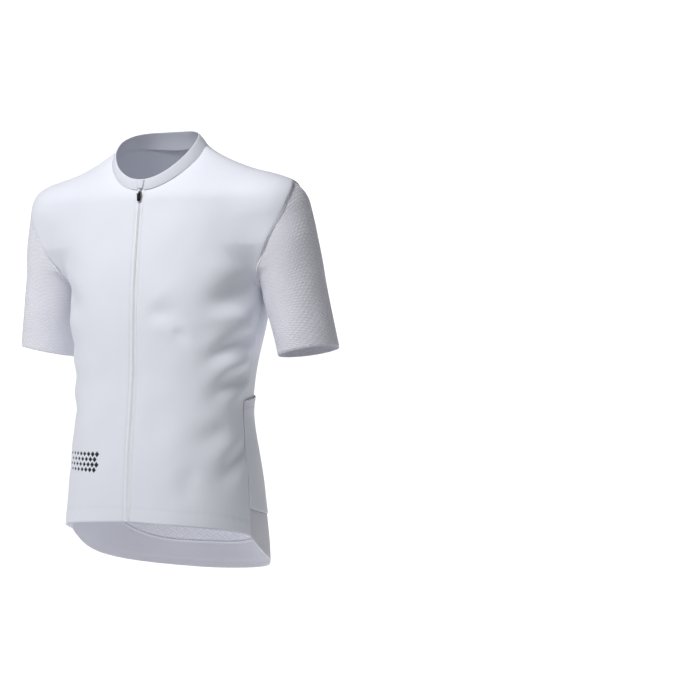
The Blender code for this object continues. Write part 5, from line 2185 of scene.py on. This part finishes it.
@dataclass
class Prints:
    """Two plain black prints: a block of diamonds that shrink towards one end."""

    shell: Shell
    pockets: RearPockets
    rows: int = 4
    columns: int = 8
    film: float = 0.00012
    front_across: tuple[float, float] = (-0.118, -0.052)
    front_heights: tuple[float, float] = (-0.459, -0.490)
    pocket_across: tuple[float, float] = (-0.070, -0.119)
    pocket_heights: tuple[float, float] = (-0.459, -0.489)

    def build(self) -> None:
        """Makes the print on the right front and the one on the right pocket."""
        front = self.shell.panels["front_right"]
        self._block("print_front", front, self.front_across, self.front_heights, shrinking=-1)
        pocket = self.pockets.panels["pocket_right"]
        self._block("print_pocket", pocket, self.pocket_across, self.pocket_heights, shrinking=1)

    def _block(self, name: str, panel: Panel, across: tuple[float, float], heights: tuple[float, float],
               shrinking: int) -> None:
        """One block of diamonds, laid on a panel.

        Args:
            name: The piece's name.
            panel: The cloth that it is printed on.
            across: X of its first and last columns.
            heights: Heights of its first and last rows.
            shrinking: 1 if the diamonds shrink towards the last column, -1 towards the first.
        """
        bm = bmesh.new()
        pitch = abs(across[1] - across[0]) / self.columns
        tall = abs(heights[1] - heights[0]) / self.rows
        for row in range(self.rows):
            for at in range(self.columns - (row % 2)):
                share = (at + 0.5 + 0.5 * (row % 2)) / self.columns
                middle_x = across[0] + (across[1] - across[0]) * share
                middle_z = heights[0] + (heights[1] - heights[0]) * (row + 0.5) / self.rows
                size = 1.0 - 0.55 * (share if shrinking > 0 else 1 - share)
                made = bmesh.ops.create_grid(bm, x_segments=3, y_segments=3, size=1.0)["verts"]
                for vertex in made:
                    x, z = vertex.co.x, vertex.co.y
                    lean = middle_x + (x - z) / 2 * pitch * 0.52 * size
                    rise = middle_z + (x + z) / 2 * tall * 0.60 * size
                    spot, out = panel.spot(lean, rise)
                    vertex.co = spot + out * (self.film * 0.9)
        outwards = Vector(panel.spot(*((across[0] + across[1]) / 2, (heights[0] + heights[1]) / 2))[1])
        bm.normal_update()
        turned = [f for f in bm.faces if f.normal.dot(outwards) < 0]
        bmesh.ops.reverse_faces(bm, faces=turned)
        made = finish_mesh(name, bm, outwards=False)
        wall = made.modifiers.new("film", "SOLIDIFY")
        wall.thickness, wall.offset = self.film, 0.0
        dress(made, Look.INK, "smooth_knit")
        LOG.info("%s, %d by %d", name, self.rows, self.columns)


class Lamp(NamedTuple):
    """A square light: its place to the viewer's right, towards the viewer and up, its size and power."""

    name: str
    right: float
    back: float
    up: float
    size: float
    power: float


LAMPS = (
    Lamp("key", -1.05, 1.3, 1.75, 0.8, 46.0),
    Lamp("fill", 0.3, 2.3, 1.5, 1.4, 12.0),
)


@dataclass
class Studio:
    """A pale sweep, soft lights and the camera."""

    azimuth: float = 27.5
    distance: float = 2.6
    height: float = -0.308
    lens: float = 86.0
    aside: float = 0.2755
    floor: float = -0.95
    sweep_aside: float = 0.6
    sweep_front: float = 0.35
    sweep_level: float = 3.6
    sweep_bend: float = 1.6
    sweep_half_width: float = 3.4
    sweep_half_length: float = 3.9
    ground_radius: float = 12.0
    surround: float = 0.06

    @property
    def right(self) -> Vector:
        """The viewer's right."""
        angle = math.radians(self.azimuth)
        return Vector((math.cos(angle), math.sin(angle), 0))

    @property
    def back(self) -> Vector:
        """The way from the jersey to the viewer."""
        angle = math.radians(self.azimuth)
        return Vector((math.sin(angle), -math.cos(angle), 0))

    def build(self) -> None:
        """Sets the whole stage."""
        self._sweep()
        self._lights()
        self._camera()

    def _sweep(self) -> None:
        """A floor that curves up into a wall behind the jersey."""
        bm = bmesh.new()
        bmesh.ops.create_grid(bm, x_segments=8, y_segments=96, size=1.0)
        level, bend = self.sweep_level, self.sweep_bend
        for vertex in bm.verts:
            aside = vertex.co.x * self.sweep_half_width
            way = (vertex.co.y + 1) * self.sweep_half_length
            turn = min(max((way - level) / bend, 0), math.pi / 2)
            ahead = min(way, level) + bend * math.sin(turn)
            rise = bend * (1 - math.cos(turn)) + max(way - level - bend * math.pi / 2, 0)
            flat = self.right * (aside + self.sweep_aside) + self.back * (self.sweep_front - ahead)
            vertex.co = flat + Vector((0, 0, self.floor + rise))
        sweep = finish_mesh("sweep", bm, outwards=False)
        sweep.data.materials.append(Look.PAPER.value.make())
        bm = bmesh.new()
        bmesh.ops.create_circle(bm, cap_ends=True, segments=96, radius=self.ground_radius)
        bmesh.ops.translate(bm, verts=bm.verts, vec=(0, 0, self.floor - 0.004))
        ground = finish_mesh("ground", bm, outwards=False)
        ground.data.materials.append(Look.GROUND.value.make())

    def _lights(self) -> None:
        """A large key light from the viewer's upper left, a weak fill and a pale surround."""
        centre = Vector((0, 0, self.height))
        for lamp in LAMPS:
            place = centre + self.right * lamp.right + self.back * lamp.back + Vector((0, 0, lamp.up))
            self._area(lamp, place, centre)
        world = bpy.data.worlds.new("surround")
        world.use_nodes = True
        background = world.node_tree.nodes["Background"]
        background.inputs["Color"].default_value = (0.96, 0.975, 1.0, 1.0)
        background.inputs["Strength"].default_value = self.surround
        bpy.context.scene.world = world

    @staticmethod
    def _area(lamp: Lamp, place: Vector, aim: Vector) -> None:
        """One square area light, turned towards the aim.

        Args:
            lamp: The light.
            place: Where it stands.
            aim: What it points at.
        """
        light = bpy.data.lights.new(lamp.name, "AREA")
        light.shape, light.size, light.energy = "SQUARE", lamp.size, lamp.power
        made = bpy.data.objects.new(lamp.name, light)
        made.location = place
        made.rotation_euler = (aim - place).to_track_quat("-Z", "Y").to_euler()
        bpy.context.scene.collection.objects.link(made)

    def _camera(self) -> None:
        """The camera, level with the jersey's middle and aimed beside it."""
        camera = bpy.data.cameras.new("camera")
        camera.lens, camera.sensor_width, camera.clip_end = self.lens, 36.0, 60.0
        made = bpy.data.objects.new("camera", camera)
        made.location = Vector((0, 0, self.height)) + self.back * self.distance
        aim = Vector((0, 0, self.height)) + self.right * self.aside
        made.rotation_euler = (aim - made.location).to_track_quat("-Z", "Y").to_euler()
        bpy.context.scene.collection.objects.link(made)
        bpy.context.scene.camera = made
        bpy.context.scene.view_settings.view_transform = "Standard"


def main() -> None:
    """Builds the jersey and its stage in order."""
    logging.basicConfig(level=logging.INFO, format="%(message)s")
    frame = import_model()
    skin = Skin()
    cut = Cut(skin)
    drape = Drape(skin, FRONT_FOLDS + BACK_FOLDS)
    shell = Shell(cut, drape)
    shell.build()
    Collar(cut).build()
    tail = Tail(cut, drape)
    tail.build()
    pockets = RearPockets(cut, Drape(skin, POCKET_FOLDS, puffed=True))
    pockets.build()
    Zip(cut, frame).build()
    Stitching(shell, pockets, tail).build()
    Prints(shell, pockets).build()
    Studio().build()


if __name__ == "__main__":
    main()
